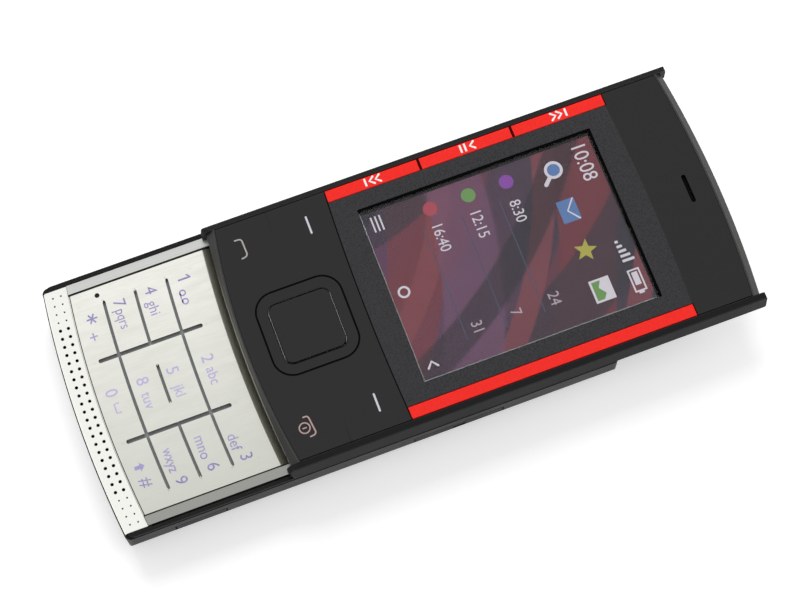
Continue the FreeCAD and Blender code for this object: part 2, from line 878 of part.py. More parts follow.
def make_camera_module():
    y = camera_middle
    z0 = camera_window_inset + camera_window_thickness + seat_gap
    barrel_top = z0 + camera_barrel_height
    barrel = make_post(0, y, z0, barrel_top, camera_barrel_radius)
    barrel = barrel.cut(Part.makeCone(camera_cone_wide, camera_cone_narrow, camera_cone_depth, V(0, y, z0)))
    half = camera_body / 2
    body_low = shell_wall + seat_gap
    body = make_box(-half, half, y - half, y + half, body_low, body_low + camera_body_height)
    save("camera_module", barrel.fuse(body))


def make_camera_window():
    z0 = camera_window_inset
    z1 = z0 + camera_window_thickness
    save("camera_window", make_post(0, camera_middle, z0, z1, camera_window_radius))


def make_speaker_grille():
    w = grille_half_width
    fold_bottom = rim_height - grille_fold_height
    outer = patch(-w, w, fold_end, grille_edge, fold_bottom, rim_height, end_bow, -grille_line_bow)
    bend = [e for e in outer.Edges if abs(e.CenterOfMass.z - rim_height) < 1e-6
            and e.CenterOfMass.y < base_end + 1 and abs(e.CenterOfMass.x) < 1]
    outer = outer.makeFillet(grille_bend_radius, bend)
    inside = patch(-base_width, base_width, fold_end + grille_thickness, grille_edge + grille_line, 0,
                   rim_height - grille_thickness, end_bow - grille_thickness, -grille_line_bow)
    strip = outer.cut(inside)
    cuts = []
    for row in (inner_row, outer_row):
        for i in range(hole_count):
            x = (i - (hole_count - 1) / 2) * hole_pitch
            y = base_end + row + sag(hole_bow, x)
            small = i < dimple_count or i >= hole_count - dimple_count
            if small:
                cuts.append(make_post(x, y, rim_height - dimple_depth, rim_height + 1, dimple_radius))
            else:
                cuts.append(make_post(x, y, 0, rim_height + 1, hole_radius))
    save("speaker_grille", strip.cut(Part.makeCompound(cuts)))


def make_rail(name, side):
    top = rail_height
    lip = top - rail_lip
    stem_outer = rail_outer - rail_lip_overhang
    b = rail_bevel
    points = [(rail_inner, channel_floor), (stem_outer, channel_floor), (stem_outer, lip), (rail_outer, lip)]
    points = points + [(rail_outer, top - b), (rail_outer - b, top)]
    points = points + [(rail_inner + b, top), (rail_inner, top - b)]
    profile = [V(side * x, -far_reach / 2, z) for x, z in points]
    rail = polygon_prism(profile, V(0, far_reach, 0))
    x0, x1 = sorted((side * (rail_inner - 1), side * (rail_outer + 1)))
    limit = patch(x0, x1, grille_edge + fit_gap, channel_far - fit_gap, 0, top + 1, grille_line_bow, end_bow)
    save(name, rail.common(limit))


def stop_faces():
    # The faces that the hooks meet, at the low and the far end of the channels.
    low = grille_edge + sag(grille_line_bow, channel_outer) + fit_gap + stop_length
    high = channel_far - sag(end_bow, channel_outer) - fit_gap - stop_length
    return low, high


def make_end_stops():
    x0 = rail_outer - rail_lip_overhang + seat_gap
    x1 = channel_outer - seat_gap
    low, high = stop_faces()
    z0 = channel_floor
    z1 = rail_height - rail_lip - seat_gap
    stops = both_sides(x0, x1, low - stop_length, low, z0, z1)
    stops = stops + both_sides(x0, x1, high, high + stop_length, z0, z1)
    save("end_stops", Part.makeCompound(stops))


def make_side_key(name, y_mid, length, dent):
    x1 = base_half - side_key_inset
    x0 = x1 - side_key_depth
    half = side_key_height / 2
    key = make_box(x0, x1, y_mid - length / 2, y_mid + length / 2, side_key_z - half, side_key_z + half)
    outer = [e for e in key.Edges if abs(e.CenterOfMass.x - x1) < 1e-6]
    key = key.makeFillet(side_key_edge, outer)
    if dent:
        y0 = y_mid - rocker_dent_half
        y1 = y_mid + rocker_dent_half
        key = key.cut(make_box(x1 - rocker_dent_depth, x1 + 1, y0, y1, 0, rim_height))
    save(name, key)


def make_audio_jack():
    face = far_wall_inner - sag(end_bow, jack_x + jack_body / 2) - (end_edge_radius - shell_wall)
    half = jack_body / 2
    mouth = base_far - sag(end_bow, jack_x) - jack_nose_inset
    back = mouth - jack_bore_length - jack_back_wall
    body = make_box(jack_x - half, jack_x + half, back, face, jack_z - half, jack_z + half)
    nose_start = V(jack_x, face - jack_overlap, jack_z)
    nose = Part.makeCylinder(jack_nose_radius, mouth - face + jack_overlap, nose_start, V(0, 1, 0))
    bore_start = V(jack_x, mouth - jack_bore_length, jack_z)
    bore = Part.makeCylinder(jack_bore_radius, jack_bore_length + 1, bore_start, V(0, 1, 0))
    save("audio_jack", body.fuse(nose).cut(bore))


def make_usb_socket():
    mouth = base_far - sag(end_bow, usb_x) - usb_inset
    x = usb_width / 2
    z = usb_height / 2
    w = usb_wall
    shell = make_box(-x, x, mouth - usb_length, mouth, -z, z)
    back = mouth - usb_length + usb_back
    hollow = make_box(-x + w, x - w, back, mouth + 1, -z + w, z - w)
    half_tongue = x - usb_tongue_margin
    tongue = make_box(-half_tongue, half_tongue, back - w, mouth - usb_inset, 0, usb_tongue)
    socket = shell.cut(hollow).fuse(tongue)
    socket.translate(V(usb_x, 0, usb_z))
    save("usb_socket", socket)


def make_slide_spring():
    # One length of wire bent into a flat S between the deck and the slide plate.
    z = (deck_height + carrier_bottom) / 2
    y0 = base_far - spring_near
    y1 = base_far - spring_far
    r1 = spring_loop
    r2 = spring_small_loop
    xa = spring_x
    xb = xa + 2 * r1
    xc = xb + 2 * r2
    low = y0 + spring_turn
    path = [
        Part.LineSegment(V(xa, y0, z), V(xa, y1, z)).toShape(),
        Part.Arc(V(xa, y1, z), V(xa + r1, y1 + r1, z), V(xb, y1, z)).toShape(),
        Part.LineSegment(V(xb, y1, z), V(xb, low, z)).toShape(),
        Part.Arc(V(xb, low, z), V(xb + r2, low - r2, z), V(xc, low, z)).toShape(),
        Part.LineSegment(V(xc, low, z), V(xc, base_far - spring_end, z)).toShape(),
    ]
    section = Part.Wire(Part.makeCircle(spring_radius, V(xa, y0, z), V(0, 1, 0)))
    save("slide_spring", Part.Wire(path).makePipeShell([section], True, False))


def make_flex_cable():
    # A printed ribbon that rolls: it rises from the lower half, runs out, turns over and returns.
    t = flex_thickness
    z0 = deck_height + flex_lift
    z3 = carrier_bottom - flex_lift
    y0 = flex_low
    y1 = flex_high
    middle = (z0 + z3) / 2
    outer = (z3 - z0) / 2
    inner = outer - t
    back = y1 - flex_return
    x = flex_x - flex_width / 2
    edges = [
        Part.LineSegment(V(x, y0, z0), V(x, y1, z0)).toShape(),
        Part.Arc(V(x, y1, z0), V(x, y1 + outer, middle), V(x, y1, z3)).toShape(),
        Part.LineSegment(V(x, y1, z3), V(x, back, z3)).toShape(),
        Part.LineSegment(V(x, back, z3), V(x, back, z3 - t)).toShape(),
        Part.LineSegment(V(x, back, z3 - t), V(x, y1, z3 - t)).toShape(),
        Part.Arc(V(x, y1, z3 - t), V(x, y1 + inner, middle), V(x, y1, z0 + t)).toShape(),
        Part.LineSegment(V(x, y1, z0 + t), V(x, y0, z0 + t)).toShape(),
        Part.LineSegment(V(x, y0, z0 + t), V(x, y0, z0)).toShape(),
    ]
    ribbon = Part.Face(Part.Wire(edges)).extrude(V(flex_width, 0, 0))
    tail = make_box(x, x + flex_width, y0 - t, y0, board_top, z0 + t)
    save("flex_cable", ribbon.fuse(tail))


def make_slide_plate():
    low_stop, high_stop = stop_faces()
    low = low_stop + slide_travel + seat_gap
    high = high_stop - seat_gap
    plate = make_box(-hook_outer, hook_outer, low, high, carrier_bottom, carrier_top)
    legs = both_sides(hook_inner, hook_outer, low, high, hook_bottom, carrier_top)
    feet = both_sides(hook_outer - hook_foot, hook_outer, low, high, hook_bottom, hook_bottom + hook_sheet)
    plate = plate.fuse(legs + feet)
    back = flex_high - flex_return
    x0 = flex_x - flex_width / 2 - fit_gap
    x1 = flex_x + flex_width / 2 + fit_gap
    window = make_box(x0, x1, back - flex_window, back, rail_height, floor_top)
    holes = [make_post(x, y, 0, floor_top, screw_shank_radius + seat_gap) for x, y in carrier_screws()]
    save("slide_plate", clean(plate.cut(Part.makeCompound([window] + holes))))


def carrier_screws():
    rows = (window_start - display_lead + carrier_screw_lead, channel_far - carrier_screw_tail)
    return [(x, y) for x in (-carrier_screw_x, carrier_screw_x) for y in rows]


def make_slide_screws():
    screws = []
    for x, y in carrier_screws():
        head = make_post(x, y, carrier_bottom - carrier_head_height, carrier_bottom, screw_head_radius)
        head = head.cut(make_post(x, y, 0, carrier_bottom - carrier_head_height / 2, screw_head_radius / 2))
        shank = make_post(x, y, carrier_bottom, ledge_height - boss_screw_margin, screw_shank_radius)
        screws.append(head.fuse(shank))
    save("slide_screws", Part.makeCompound(screws))


def slide_section():
    # The slide's section across the phone: leaning walls, a fine groove, then the bevelled rim.
    w = shoulder_half_width
    h = shoulder_height
    g = groove_depth
    right = [(base_half, slide_skirt_height), (w, h), (w - g, h + 0.02), (w - g, h + groove_height)]
    right = right + [(w - 0.05, h + groove_height + 0.02), (rim_top_half_width, phone_thickness)]
    left = [(-x, z) for x, z in reversed(right)]
    return [V(x, -far_reach / 2, z) for x, z in right + left]


def slide_side_view():
    # The slide's side view: both ends of the walls are rounded over at the top.
    y0 = slide_near + wall_tip_low
    y1 = slide_far - wall_tip_high
    r0 = wall_end_radius_low
    r1 = wall_end_radius_high
    top = phone_thickness
    z0 = slide_skirt_height
    b0 = r0 * (1 - math.sqrt(0.5))
    b1 = r1 * (1 - math.sqrt(0.5))
    x = -far_reach / 2
    edges = [
        Part.LineSegment(V(x, y0, z0), V(x, y1, z0)).toShape(),
        Part.LineSegment(V(x, y1, z0), V(x, y1, top - r1)).toShape(),
        Part.Arc(V(x, y1, top - r1), V(x, y1 - b1, top - b1), V(x, y1 - r1, top)).toShape(),
        Part.LineSegment(V(x, y1 - r1, top), V(x, y0 + r0, top)).toShape(),
        Part.Arc(V(x, y0 + r0, top), V(x, y0 + b0, top - b0), V(x, y0, top - r0)).toShape(),
        Part.LineSegment(V(x, y0, top - r0), V(x, y0, z0)).toShape(),
    ]
    return Part.Face(Part.Wire(edges)).extrude(V(far_reach, 0, 0))


def make_slide_housing():
    walls = polygon_prism(slide_section(), V(0, far_reach, 0)).common(slide_side_view())
    plan = make_box(-base_half, base_half, slide_near + wall_tip_low, slide_far, 0, phone_thickness + 1)
    plan = round_uprights(plan, slide_corner_low, lambda p: p.y < 0)
    plan = round_uprights(plan, slide_corner_high, lambda p: p.y > slide_near + slide_length / 2)
    walls = walls.common(plan)
    reach = far_reach / 2
    half = cap_half_width + seat_gap
    above = phone_thickness + 1
    under = make_box(-slide_wall_inner, slide_wall_inner, -reach, reach, 0, floor_bottom)
    face = make_box(-half, half, -reach, reach, ledge_height, above)
    low = slide_near - cap_room
    high = slide_far + cap_room
    low_cap = patch(-half, half, low, face_low - seat_gap, floor_top, above, end_bow, -face_low_bow)
    high_cap = patch(-half, half, face_high + seat_gap, high, floor_top, above, -end_bow, end_bow)
    half = cap_half_width
    low_trim = patch(-half, half, low, slide_near + cap_overhang, 0, above, end_bow, -slide_low_bow)
    high_trim = patch(-half, half, slide_far - cap_overhang, high, 0, above, -end_bow, end_bow)
    half = key_pocket_half
    keys = patch(-half, half, face_low + pocket_margin, key_sheet_line, floor_top, above, face_low_bow,
                 -sheet_line_bow)
    top = patch(-half, half, lens_line, face_high - pocket_margin, floor_top, above, -sheet_line_bow, end_bow)
    half = display_pocket_half
    low = key_sheet_line - pocket_margin
    screen = make_box(-half, half, low, lens_line + pocket_margin, floor_top, above)
    back = flex_high - flex_return
    half = flex_width / 2
    ribbon = make_box(flex_x - half, flex_x + half, back - flex_window, back, 0, above)
    cuts = [under, face, low_cap, high_cap, low_trim, high_trim, keys, top, screen, ribbon]
    hole_top = ledge_height - boss_screw_margin / 2
    for x, y in carrier_screws():
        cuts.append(make_post(x, y, 0, hole_top, screw_shank_radius + screw_fit))
    housing = walls.cut(Part.makeCompound(cuts))
    posts = [make_post(x, y, floor_bottom, key_board_height - key_board_thickness, post_radius)
             for x in (-post_x, 0, post_x) for y in (slide_near + post_low, slide_near + post_high)]
    save("slide_housing", clean(housing.fuse(posts)))


def cap_outline(half, inner_y, inner_bow, outer_y, outer_bow, z):
    # Four edges: the outer bow, a side, the inner bow and the other side.
    outer = [V(x, outer_y + sag(outer_bow, x), z) for x in (-half, 0, half)]
    inner = [V(x, inner_y + sag(inner_bow, x), z) for x in (half, 0, -half)]
    return Part.Wire([
        Part.Arc(*outer).toShape(),
        Part.LineSegment(outer[2], inner[0]).toShape(),
        Part.Arc(*inner).toShape(),
        Part.LineSegment(inner[2], outer[0]).toShape(),
    ])


def cap_solid(inner_y, inner_bow, outer_y, outer_bow, rim):
    # A block up to the shoulder, then a slope up to a narrow rim along the face.
    z0 = floor_top + seat_gap
    z1 = phone_thickness - cap_shoulder
    z2 = phone_thickness - cap_top_drop
    low = cap_outline(cap_half_width, inner_y, inner_bow, outer_y, outer_bow, z0)
    waist = cap_outline(cap_half_width, inner_y, inner_bow, outer_y, outer_bow, z1)
    top = cap_outline(cap_half_width, inner_y, inner_bow, inner_y + rim, inner_bow, z2)
    block = Part.makeLoft([low, waist], True, True)
    slope = Part.makeLoft([waist, top], True, True)
    return clean(block.fuse(slope))


def make_end_caps():
    low = cap_solid(face_low - fit_gap, face_low_bow, slide_near, slide_low_bow, -cap_rim)
    save("end_cap_lower", low)
    high = cap_solid(face_high + fit_gap, -end_bow, slide_far, -end_bow, cap_rim)
    save("end_cap_upper", high)


def face_key(x0, x1, y0, y1, bow_low, bow_high):
    return patch(x0, x1, y0, y1, key_bottom, phone_thickness, bow_low, bow_high)


def make_face_keys():
    opening = rounded_square(0, nav_middle, nav_half + nav_opening_gap, nav_corner + nav_opening_gap, 0,
                             phone_thickness + 1)
    inner = kerf / 2
    outer = face_half_width
    top = key_sheet_line - fit_gap
    for side, upper, lower in ((-1, "soft_key_left", "call_key"), (1, "soft_key_right", "end_key")):
        x0, x1 = sorted((side * inner, side * outer))
        high = face_key(x0, x1, nav_middle + inner, top, far_reach * 10, -sheet_line_bow)
        low = face_key(x0, x1, face_low, nav_middle - inner, face_low_bow, far_reach * 10)
        save(upper, high.cut(opening))
        save(lower, low.cut(opening))


def make_nav_ring():
    z0 = key_bottom
    z1 = phone_thickness
    hole = centre_half + centre_gap
    ring = rounded_square(0, nav_middle, nav_half, nav_corner, z0, z1)
    ring = ring.cut(rounded_square(0, nav_middle, hole, centre_corner + centre_gap, z0 - 1, z1 + 1))
    rim = [e for e in ring.Edges if abs(e.BoundBox.ZMin - z1) < 1e-6 and abs(e.BoundBox.ZMax - z1) < 1e-6]
    inner = [e for e in rim if max(abs(e.CenterOfMass.x), abs(e.CenterOfMass.y - nav_middle)) < hole + 0.01]
    save("nav_ring", ring.makeChamfer(ring_bevel, inner))


def make_nav_rocker_plate():
    z1 = key_bottom - rocker_drop
    plate = rounded_square(0, nav_middle, rocker_half, rocker_corner, z1 - rocker_thickness, z1)
    hole = stem_half + stem_gap
    save("nav_rocker_plate", plate.cut(rounded_square(0, nav_middle, hole, stem_gap, 0, phone_thickness)))


def make_centre_key():
    z1 = phone_thickness - centre_recess
    z0 = z1 - centre_cap_thickness
    cap = rounded_square(0, nav_middle, centre_half, centre_corner, z0, z1)
    rim = [e for e in cap.Edges if abs(e.BoundBox.ZMin - z1) < 1e-6 and abs(e.BoundBox.ZMax - z1) < 1e-6]
    cap = cap.makeFillet(centre_edge, rim)
    stem_low = key_board_height + key_travel + key_under_gap
    stem = rounded_square(0, nav_middle, stem_half, stem_gap, stem_low, z0)
    save("centre_key", cap.fuse(stem))


def window_cutter(grow, z0, z1):
    half = window_half_width - grow
    block = make_box(-half, half, window_start + grow, window_end - grow, z0, z1)
    return round_uprights(block, window_corner)


def ear_slot(z1):
    y = ear_slot_middle
    radius = ear_slot_width / 2
    half = ear_slot_length / 2 - radius
    slot = make_box(-half, half, y - radius, y + radius, 0, z1)
    ends = [make_post(x, y, 0, z1, radius) for x in (-half, half)]
    return slot.fuse(ends)


def make_lens_frame():
    z0 = lens_bottom
    z1 = phone_thickness
    narrow = strip_inner - fit_gap
    body = patch(-narrow, narrow, key_sheet_line, lens_line + 1, z0, z1, sheet_line_bow, -sheet_line_bow)
    top = patch(-face_half_width, face_half_width, lens_line, face_high, z0, z1, -sheet_line_bow, end_bow)
    steps = [make_box(-face_half_width, -narrow, lens_line - 5, strip_end + fit_gap, z0 - 1, z1 + 1),
             make_box(narrow, face_half_width, lens_line - 5, strip_end + fit_gap, z0 - 1, z1 + 1)]
    openings = [window_cutter(0, 0, z1 + 1), ear_slot(z1 + 1)]
    lens = body.fuse(top).cut(Part.makeCompound(steps + openings))
    save("lens_frame", clean(lens))


def make_display_window():
    z1 = phone_thickness - pane_recess
    save("display_window", window_cutter(pane_gap, z1 - pane_thickness, z1))


def make_display_module():
    z1 = display_top
    y0 = window_start - display_lead
    y1 = window_end + display_tail
    body = make_box(-display_half_width, display_half_width, y0, y1, inner_base, z1)
    half = window_half_width + glass_margin
    glass = make_box(-half, half, window_start - glass_margin, window_end + glass_margin, z1, z1 + glass_rise)
    save("display_module", body.fuse(glass))


def make_music_keys():
    names = ["music_key_back", "music_key_play", "music_key_next"]
    x0 = -strip_outer
    x1 = -strip_inner
    for i, name in enumerate(names):
        y0 = strip_start + i * strip_third + fit_gap / 2
        y1 = strip_start + (i + 1) * strip_third - fit_gap / 2
        key = make_box(x0, x1, y0, y1, key_bottom, phone_thickness)
        top = [e for e in key.Edges if abs(e.CenterOfMass.z - phone_thickness) < 1e-6]
        save(name, key.makeChamfer(key_bevel, top))


def make_music_trim():
    strip = make_box(strip_inner, strip_outer, strip_start + fit_gap / 2, strip_end - fit_gap / 2,
                     ledge_height + seat_gap, phone_thickness)
    top = [e for e in strip.Edges if abs(e.CenterOfMass.z - phone_thickness) < 1e-6]
    save("music_trim", strip.makeChamfer(key_bevel, top))


def make_key_board():
    low = slide_near + key_board_low
    board = patch(-key_board_half, key_board_half, low, key_sheet_line - key_board_far_gap,
                  key_board_height - key_board_thickness, key_board_height, face_low_bow, -sheet_line_bow)
    save("key_board", board)


def make_earpiece():
    y0 = slide_far - ear_inset
    body = make_box(-ear_half_width, ear_half_width, y0, y0 + ear_length, inner_base, display_top)
    body = round_uprights(body, ear_corner)
    y = ear_slot_middle
    mouth = make_box(-ear_mouth_half, ear_mouth_half, y - ear_slot_width, y + ear_slot_width, inner_base,
                     lens_bottom - seat_gap)
    save("earpiece", body.fuse(mouth))


make_battery_cover()
make_lower_frame()
make_upper_frame()
make_keypad()
make_keypad_mat()
make_dome_sheet()
make_main_board()
make_shield_cans()
make_board_screws()
make_battery()
make_battery_connector()
make_sim_holder()
make_vibration_motor()
make_loudspeaker()
make_microphone()
make_camera_module()
make_camera_window()
make_speaker_grille()
make_rail("rail_left", -1)
make_rail("rail_right", 1)
make_end_stops()
make_side_key("volume_rocker", volume_y, volume_length, True)
make_side_key("camera_key", camera_key_y, camera_key_length, False)
make_audio_jack()
make_usb_socket()
make_slide_spring()
make_flex_cable()
make_slide_plate()
make_slide_screws()
make_slide_housing()
make_end_caps()
make_face_keys()
make_nav_ring()
make_nav_rocker_plate()
make_centre_key()
make_lens_frame()
make_display_window()
make_display_module()
make_music_keys()
make_music_trim()
make_key_board()
make_earpiece()
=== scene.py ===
"""Slider phone, slid open: its printing, screen picture, finishes and studio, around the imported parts.

Sizes in the tables are millimetres in the phone's own frame: +X to its right, +Y to the earpiece end,
+Z out of the screen. Everything that Blender gets is in metres.
"""

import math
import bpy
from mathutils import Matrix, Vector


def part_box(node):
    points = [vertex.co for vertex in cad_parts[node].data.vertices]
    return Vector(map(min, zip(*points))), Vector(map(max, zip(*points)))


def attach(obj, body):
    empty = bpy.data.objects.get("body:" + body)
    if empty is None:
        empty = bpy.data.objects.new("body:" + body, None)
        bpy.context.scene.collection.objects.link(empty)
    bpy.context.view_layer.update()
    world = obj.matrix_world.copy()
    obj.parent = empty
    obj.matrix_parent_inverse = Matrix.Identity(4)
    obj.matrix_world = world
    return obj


bl_info = {
    "name": "Slider phone",
    "version": (1, 0, 0),
    "blender": (4, 5, 0),
    "location": "3D View > Sidebar > Phone",
    "description": "Dresses the packed slider phone with its printing, screen picture, finishes and studio",
    "category": "Object",
}

import bmesh
import bpy
from bpy.props import FloatProperty, FloatVectorProperty, PointerProperty
from mathutils import Euler, Matrix, Vector

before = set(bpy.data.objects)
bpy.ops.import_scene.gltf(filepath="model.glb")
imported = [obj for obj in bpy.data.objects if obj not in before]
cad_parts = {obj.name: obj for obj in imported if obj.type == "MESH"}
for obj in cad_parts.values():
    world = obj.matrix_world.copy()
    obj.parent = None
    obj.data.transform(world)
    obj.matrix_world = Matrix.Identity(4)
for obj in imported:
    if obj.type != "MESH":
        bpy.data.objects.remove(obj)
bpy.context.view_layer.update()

MM = 0.001
IMAGE_WIDTH = 800
SENSOR_WIDTH = 36.0
# Worked out from the straight edges and slots of the phone, as the picture shows them
CAMERA_PLACE = (112.425, -38.735, 379.085)
CAMERA_TURN = (17.919349, 0.476475, 69.468725)
CAMERA_FOCUS_PIXELS = 2148.933


def linear(code):
    """An sRGB hex colour as linear red, green, blue and alpha."""
    parts = [int(code[i:i + 2], 16) / 255 for i in (1, 3, 5)]
    return tuple(p / 12.92 if p <= 0.04045 else ((p + 0.055) / 1.055) ** 2.4 for p in parts) + (1.0,)


def tone(code, name, description):
    """A colour setting that starts at an sRGB hex colour."""
    return FloatVectorProperty(name=name, description=description, subtype="COLOR", size=4, min=0, max=1,
                               default=linear(code))


# Settings

pane_low, pane_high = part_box("display_window")


class PhoneColours(bpy.types.PropertyGroup):
    """Colours that a user would change."""
    plate: tone("#f3f3ec", "Keypad plate", "Bright side of the brushed keypad plate")
    plate_shade: tone("#e8e8df", "Keypad plate shade", "Duller brush lines of the keypad plate")
    grille: tone("#f9f9f4", "Grille strip", "Speaker grille strip")
    rail: tone("#d2d3d0", "Rails", "Steel rails beside the keypad")
    legend: tone("#67589c", "Key print", "Key print of the outer columns")
    # the paler print of the middle column is a painted reflection
    legend_pale_lit: tone("#beb6e3", "Pale key print", "Key print of the middle column")
    red: tone("#fb2317", "Music keys", "Red music keys and trim strip")
    face: tone("#0c0c0c", "Face", "Gloss black key sheet")
    flake: tone("#19191b", "Screen frame", "Dark flake face round the screen")
    slide_paint: tone("#252526", "Slide paint", "Paint of the slide's side walls")
    side_paint: tone("#2c2b2a", "Side paint", "Paint of the lower half's side walls")
    rim_paint: tone("#262525", "Rim", "Dark rim of the lower half")
    print_white: tone("#d8d8e0", "White print", "Printing on the black face")

def length(name, description, size, precision=5):
    """A size setting that starts at size millimetres."""
    return FloatProperty(name=name, description=description, default=size * MM, unit="LENGTH",
                         precision=precision)


class PhoneSizes(bpy.types.PropertyGroup):
    """Sizes that a user would change, in metres."""
    print_height: length("Print height", "How far ink stands above its key", 0.01, 6)
    digit_height: length("Digit height", "Height of the digits on the keys", 2.35)
    letter_height: length("Letter height", "Height of a small x on the keys", 1.15)
    stroke: length("Mark stroke", "Width of the lines of the face marks", 0.27)
    screen_width: length("Picture width", "Lit width of the screen", 33.5)
    screen_height: length("Picture height", "Lit height of the screen", 44.7)
    wire_pitch: length("Mesh pitch", "Wire spacing of the earpiece mesh", 0.28)


class StudioSettings(bpy.types.PropertyGroup):
    """Light and floor of the studio."""
    lamp_power: FloatProperty(name="Main lamp", description="Power of the large soft lamp", default=6.8,
                              unit="POWER")
    fill: FloatProperty(name="Room light", description="Brightness of the white room", default=0.5, min=0)
    floor_size: FloatProperty(name="Floor size", description="Side of the square floor", default=6.0,
                              unit="LENGTH")


class PhoneSettings(bpy.types.PropertyGroup):
    """All settings of the slider phone."""
    colours: PointerProperty(type=PhoneColours, name="Colours", description="Colours of the phone")
    sizes: PointerProperty(type=PhoneSizes, name="Sizes", description="Sizes of the print and the screen")
    studio: PointerProperty(type=StudioSettings, name="Studio", description="Light and floor")
def settings():
    """The phone's settings in this scene."""
    return bpy.context.scene.slider_phone

# Nodes and finishes

def add(tree, kind, links=None, **settings):
    """Adds a node. settings are its own properties; links give its inputs a value or a socket to read."""
    made = tree.nodes.new(kind)
    for name, value in settings.items():
        setattr(made, name, value)
    for key, value in (links or {}).items():
        socket = next((s for s in made.inputs if s.identifier == key), None) or made.inputs[key]
        if isinstance(value, bpy.types.NodeSocket):
            tree.links.new(value, socket)
        else:
            socket.default_value = value
    return made


def put(name, data):
    """A new object in the scene."""
    made = bpy.data.objects.new(name, data)
    bpy.context.scene.collection.objects.link(made)
    return made


def plain_mesh(thing):
    """The mesh that an object shows, with its modifiers or its letters worked out."""
    bpy.context.view_layer.update()
    return bpy.data.meshes.new_from_object(thing.evaluated_get(bpy.context.evaluated_depsgraph_get()))


def start_finish(name, **shader):
    """A new material with one shader, and the object coordinates that its patterns read."""
    material = bpy.data.materials.new(name)
    material.use_nodes = True
    tree = material.node_tree
    tree.nodes.clear()
    surface = add(tree, "ShaderNodeBsdfPrincipled", shader)
    add(tree, "ShaderNodeOutputMaterial", {"Surface": surface.outputs[0]})
    coordinates = add(tree, "ShaderNodeTexCoord").outputs["Object"]
    return material, tree, surface, coordinates


def grain_of(tree, coordinates, size, detail=3.0, roughness=0.6):
    """A noise whose grain is size millimetres, given once or for each axis."""
    scale = [1 / (s * MM) for s in (size if isinstance(size, tuple) else (size,) * 3)]
    placed = add(tree, "ShaderNodeMapping", {"Vector": coordinates, "Scale": scale})
    return add(tree, "ShaderNodeTexNoise", {"Vector": placed.outputs[0], "Scale": 1.0, "Detail": detail,
                                            "Roughness": roughness}).outputs["Fac"]


def blend_colours(tree, share, low, high, first, second, cover=1.0):
    """first where share is low, second where it is high. cover is how much of second shows there."""
    spread = add(tree, "ShaderNodeMapRange", {"Value": share, "From Min": low, "From Max": high,
                                              "To Max": cover})
    links = {"Factor_Float": spread.outputs[0], "A_Color": first, "B_Color": second}
    mix = add(tree, "ShaderNodeMix", links, data_type="RGBA")
    return next(s for s in mix.outputs if s.identifier == "Result_Color")


def roughen(tree, surface, grain, low, high, smooth, rough):
    """Makes the surface go from smooth to rough as its grain goes from low to high."""
    links = {"Value": grain, "From Min": low, "From Max": high, "To Min": smooth, "To Max": rough}
    tree.links.new(add(tree, "ShaderNodeMapRange", links).outputs[0], surface.inputs["Roughness"])


def raise_grain(tree, surface, grain, depth):
    """Makes the grain stand up by depth millimetres."""
    bump = add(tree, "ShaderNodeBump", {"Height": grain, "Distance": depth * MM, "Strength": 1.0})
    tree.links.new(bump.outputs[0], surface.inputs["Normal"])


def tint(colour):
    """An sRGB hex colour, or the colour setting of that name, as linear red, green, blue and alpha."""
    return linear(colour) if colour.startswith("#") else getattr(settings().colours, colour)


def surfaced(name, colour, shade, grain, rough, depth=0.0, mirror=0.5, metal=0.0, edge_wear_and_highlight=None):
    """A finish from its grain: two colours, a roughness that varies with grain and handling, and a bump.

    grain and depth are the grain's size and height in millimetres, mirror is how strongly it reflects, and the
    last colour is painted on rounded edges, for rubbed wear and as a painted highlight.
    """
    shader = {"Specular IOR Level": mirror, "Metallic": metal}
    material, tree, surface, coordinates = start_finish(name, **shader)
    fine = grain_of(tree, coordinates, grain)
    smudge = 12.0
    handled = grain_of(tree, coordinates, smudge, detail=2.0, roughness=0.5)
    mixed = blend_colours(tree, fine, 0.35, 0.65, tint(colour), tint(shade))
    # Edges are painted lighter: partly rubbed wear, partly a painted highlight where rounded edges catch the
    # light
    if edge_wear_and_highlight:
        rounded = add(tree, "ShaderNodeBevel", {"Radius": 0.12 * MM}, samples=4)
        normal = add(tree, "ShaderNodeNewGeometry").outputs["Normal"]
        turn = add(tree, "ShaderNodeVectorMath", {0: rounded.outputs[0], 1: normal}, operation="DOT_PRODUCT")
        mixed = blend_colours(tree, turn.outputs["Value"], 0.995, 0.9, mixed, tint(edge_wear_and_highlight))
    tree.links.new(mixed, surface.inputs["Base Color"])
    low, high = rough
    middle = (low + high) / 2
    by_hand = add(tree, "ShaderNodeMapRange", {"Value": handled, "From Min": 0.3, "From Max": 0.7,
                                               "To Min": low, "To Max": middle})
    by_grain = add(tree, "ShaderNodeMapRange", {"Value": fine, "From Min": 0.3, "From Max": 0.7,
                                                "To Max": high - middle})
    total = add(tree, "ShaderNodeMath", {0: by_hand.outputs[0], 1: by_grain.outputs[0]}, operation="ADD")
    tree.links.new(total.outputs[0], surface.inputs["Roughness"])
    if depth:
        raise_grain(tree, surface, fine, depth)
    return material


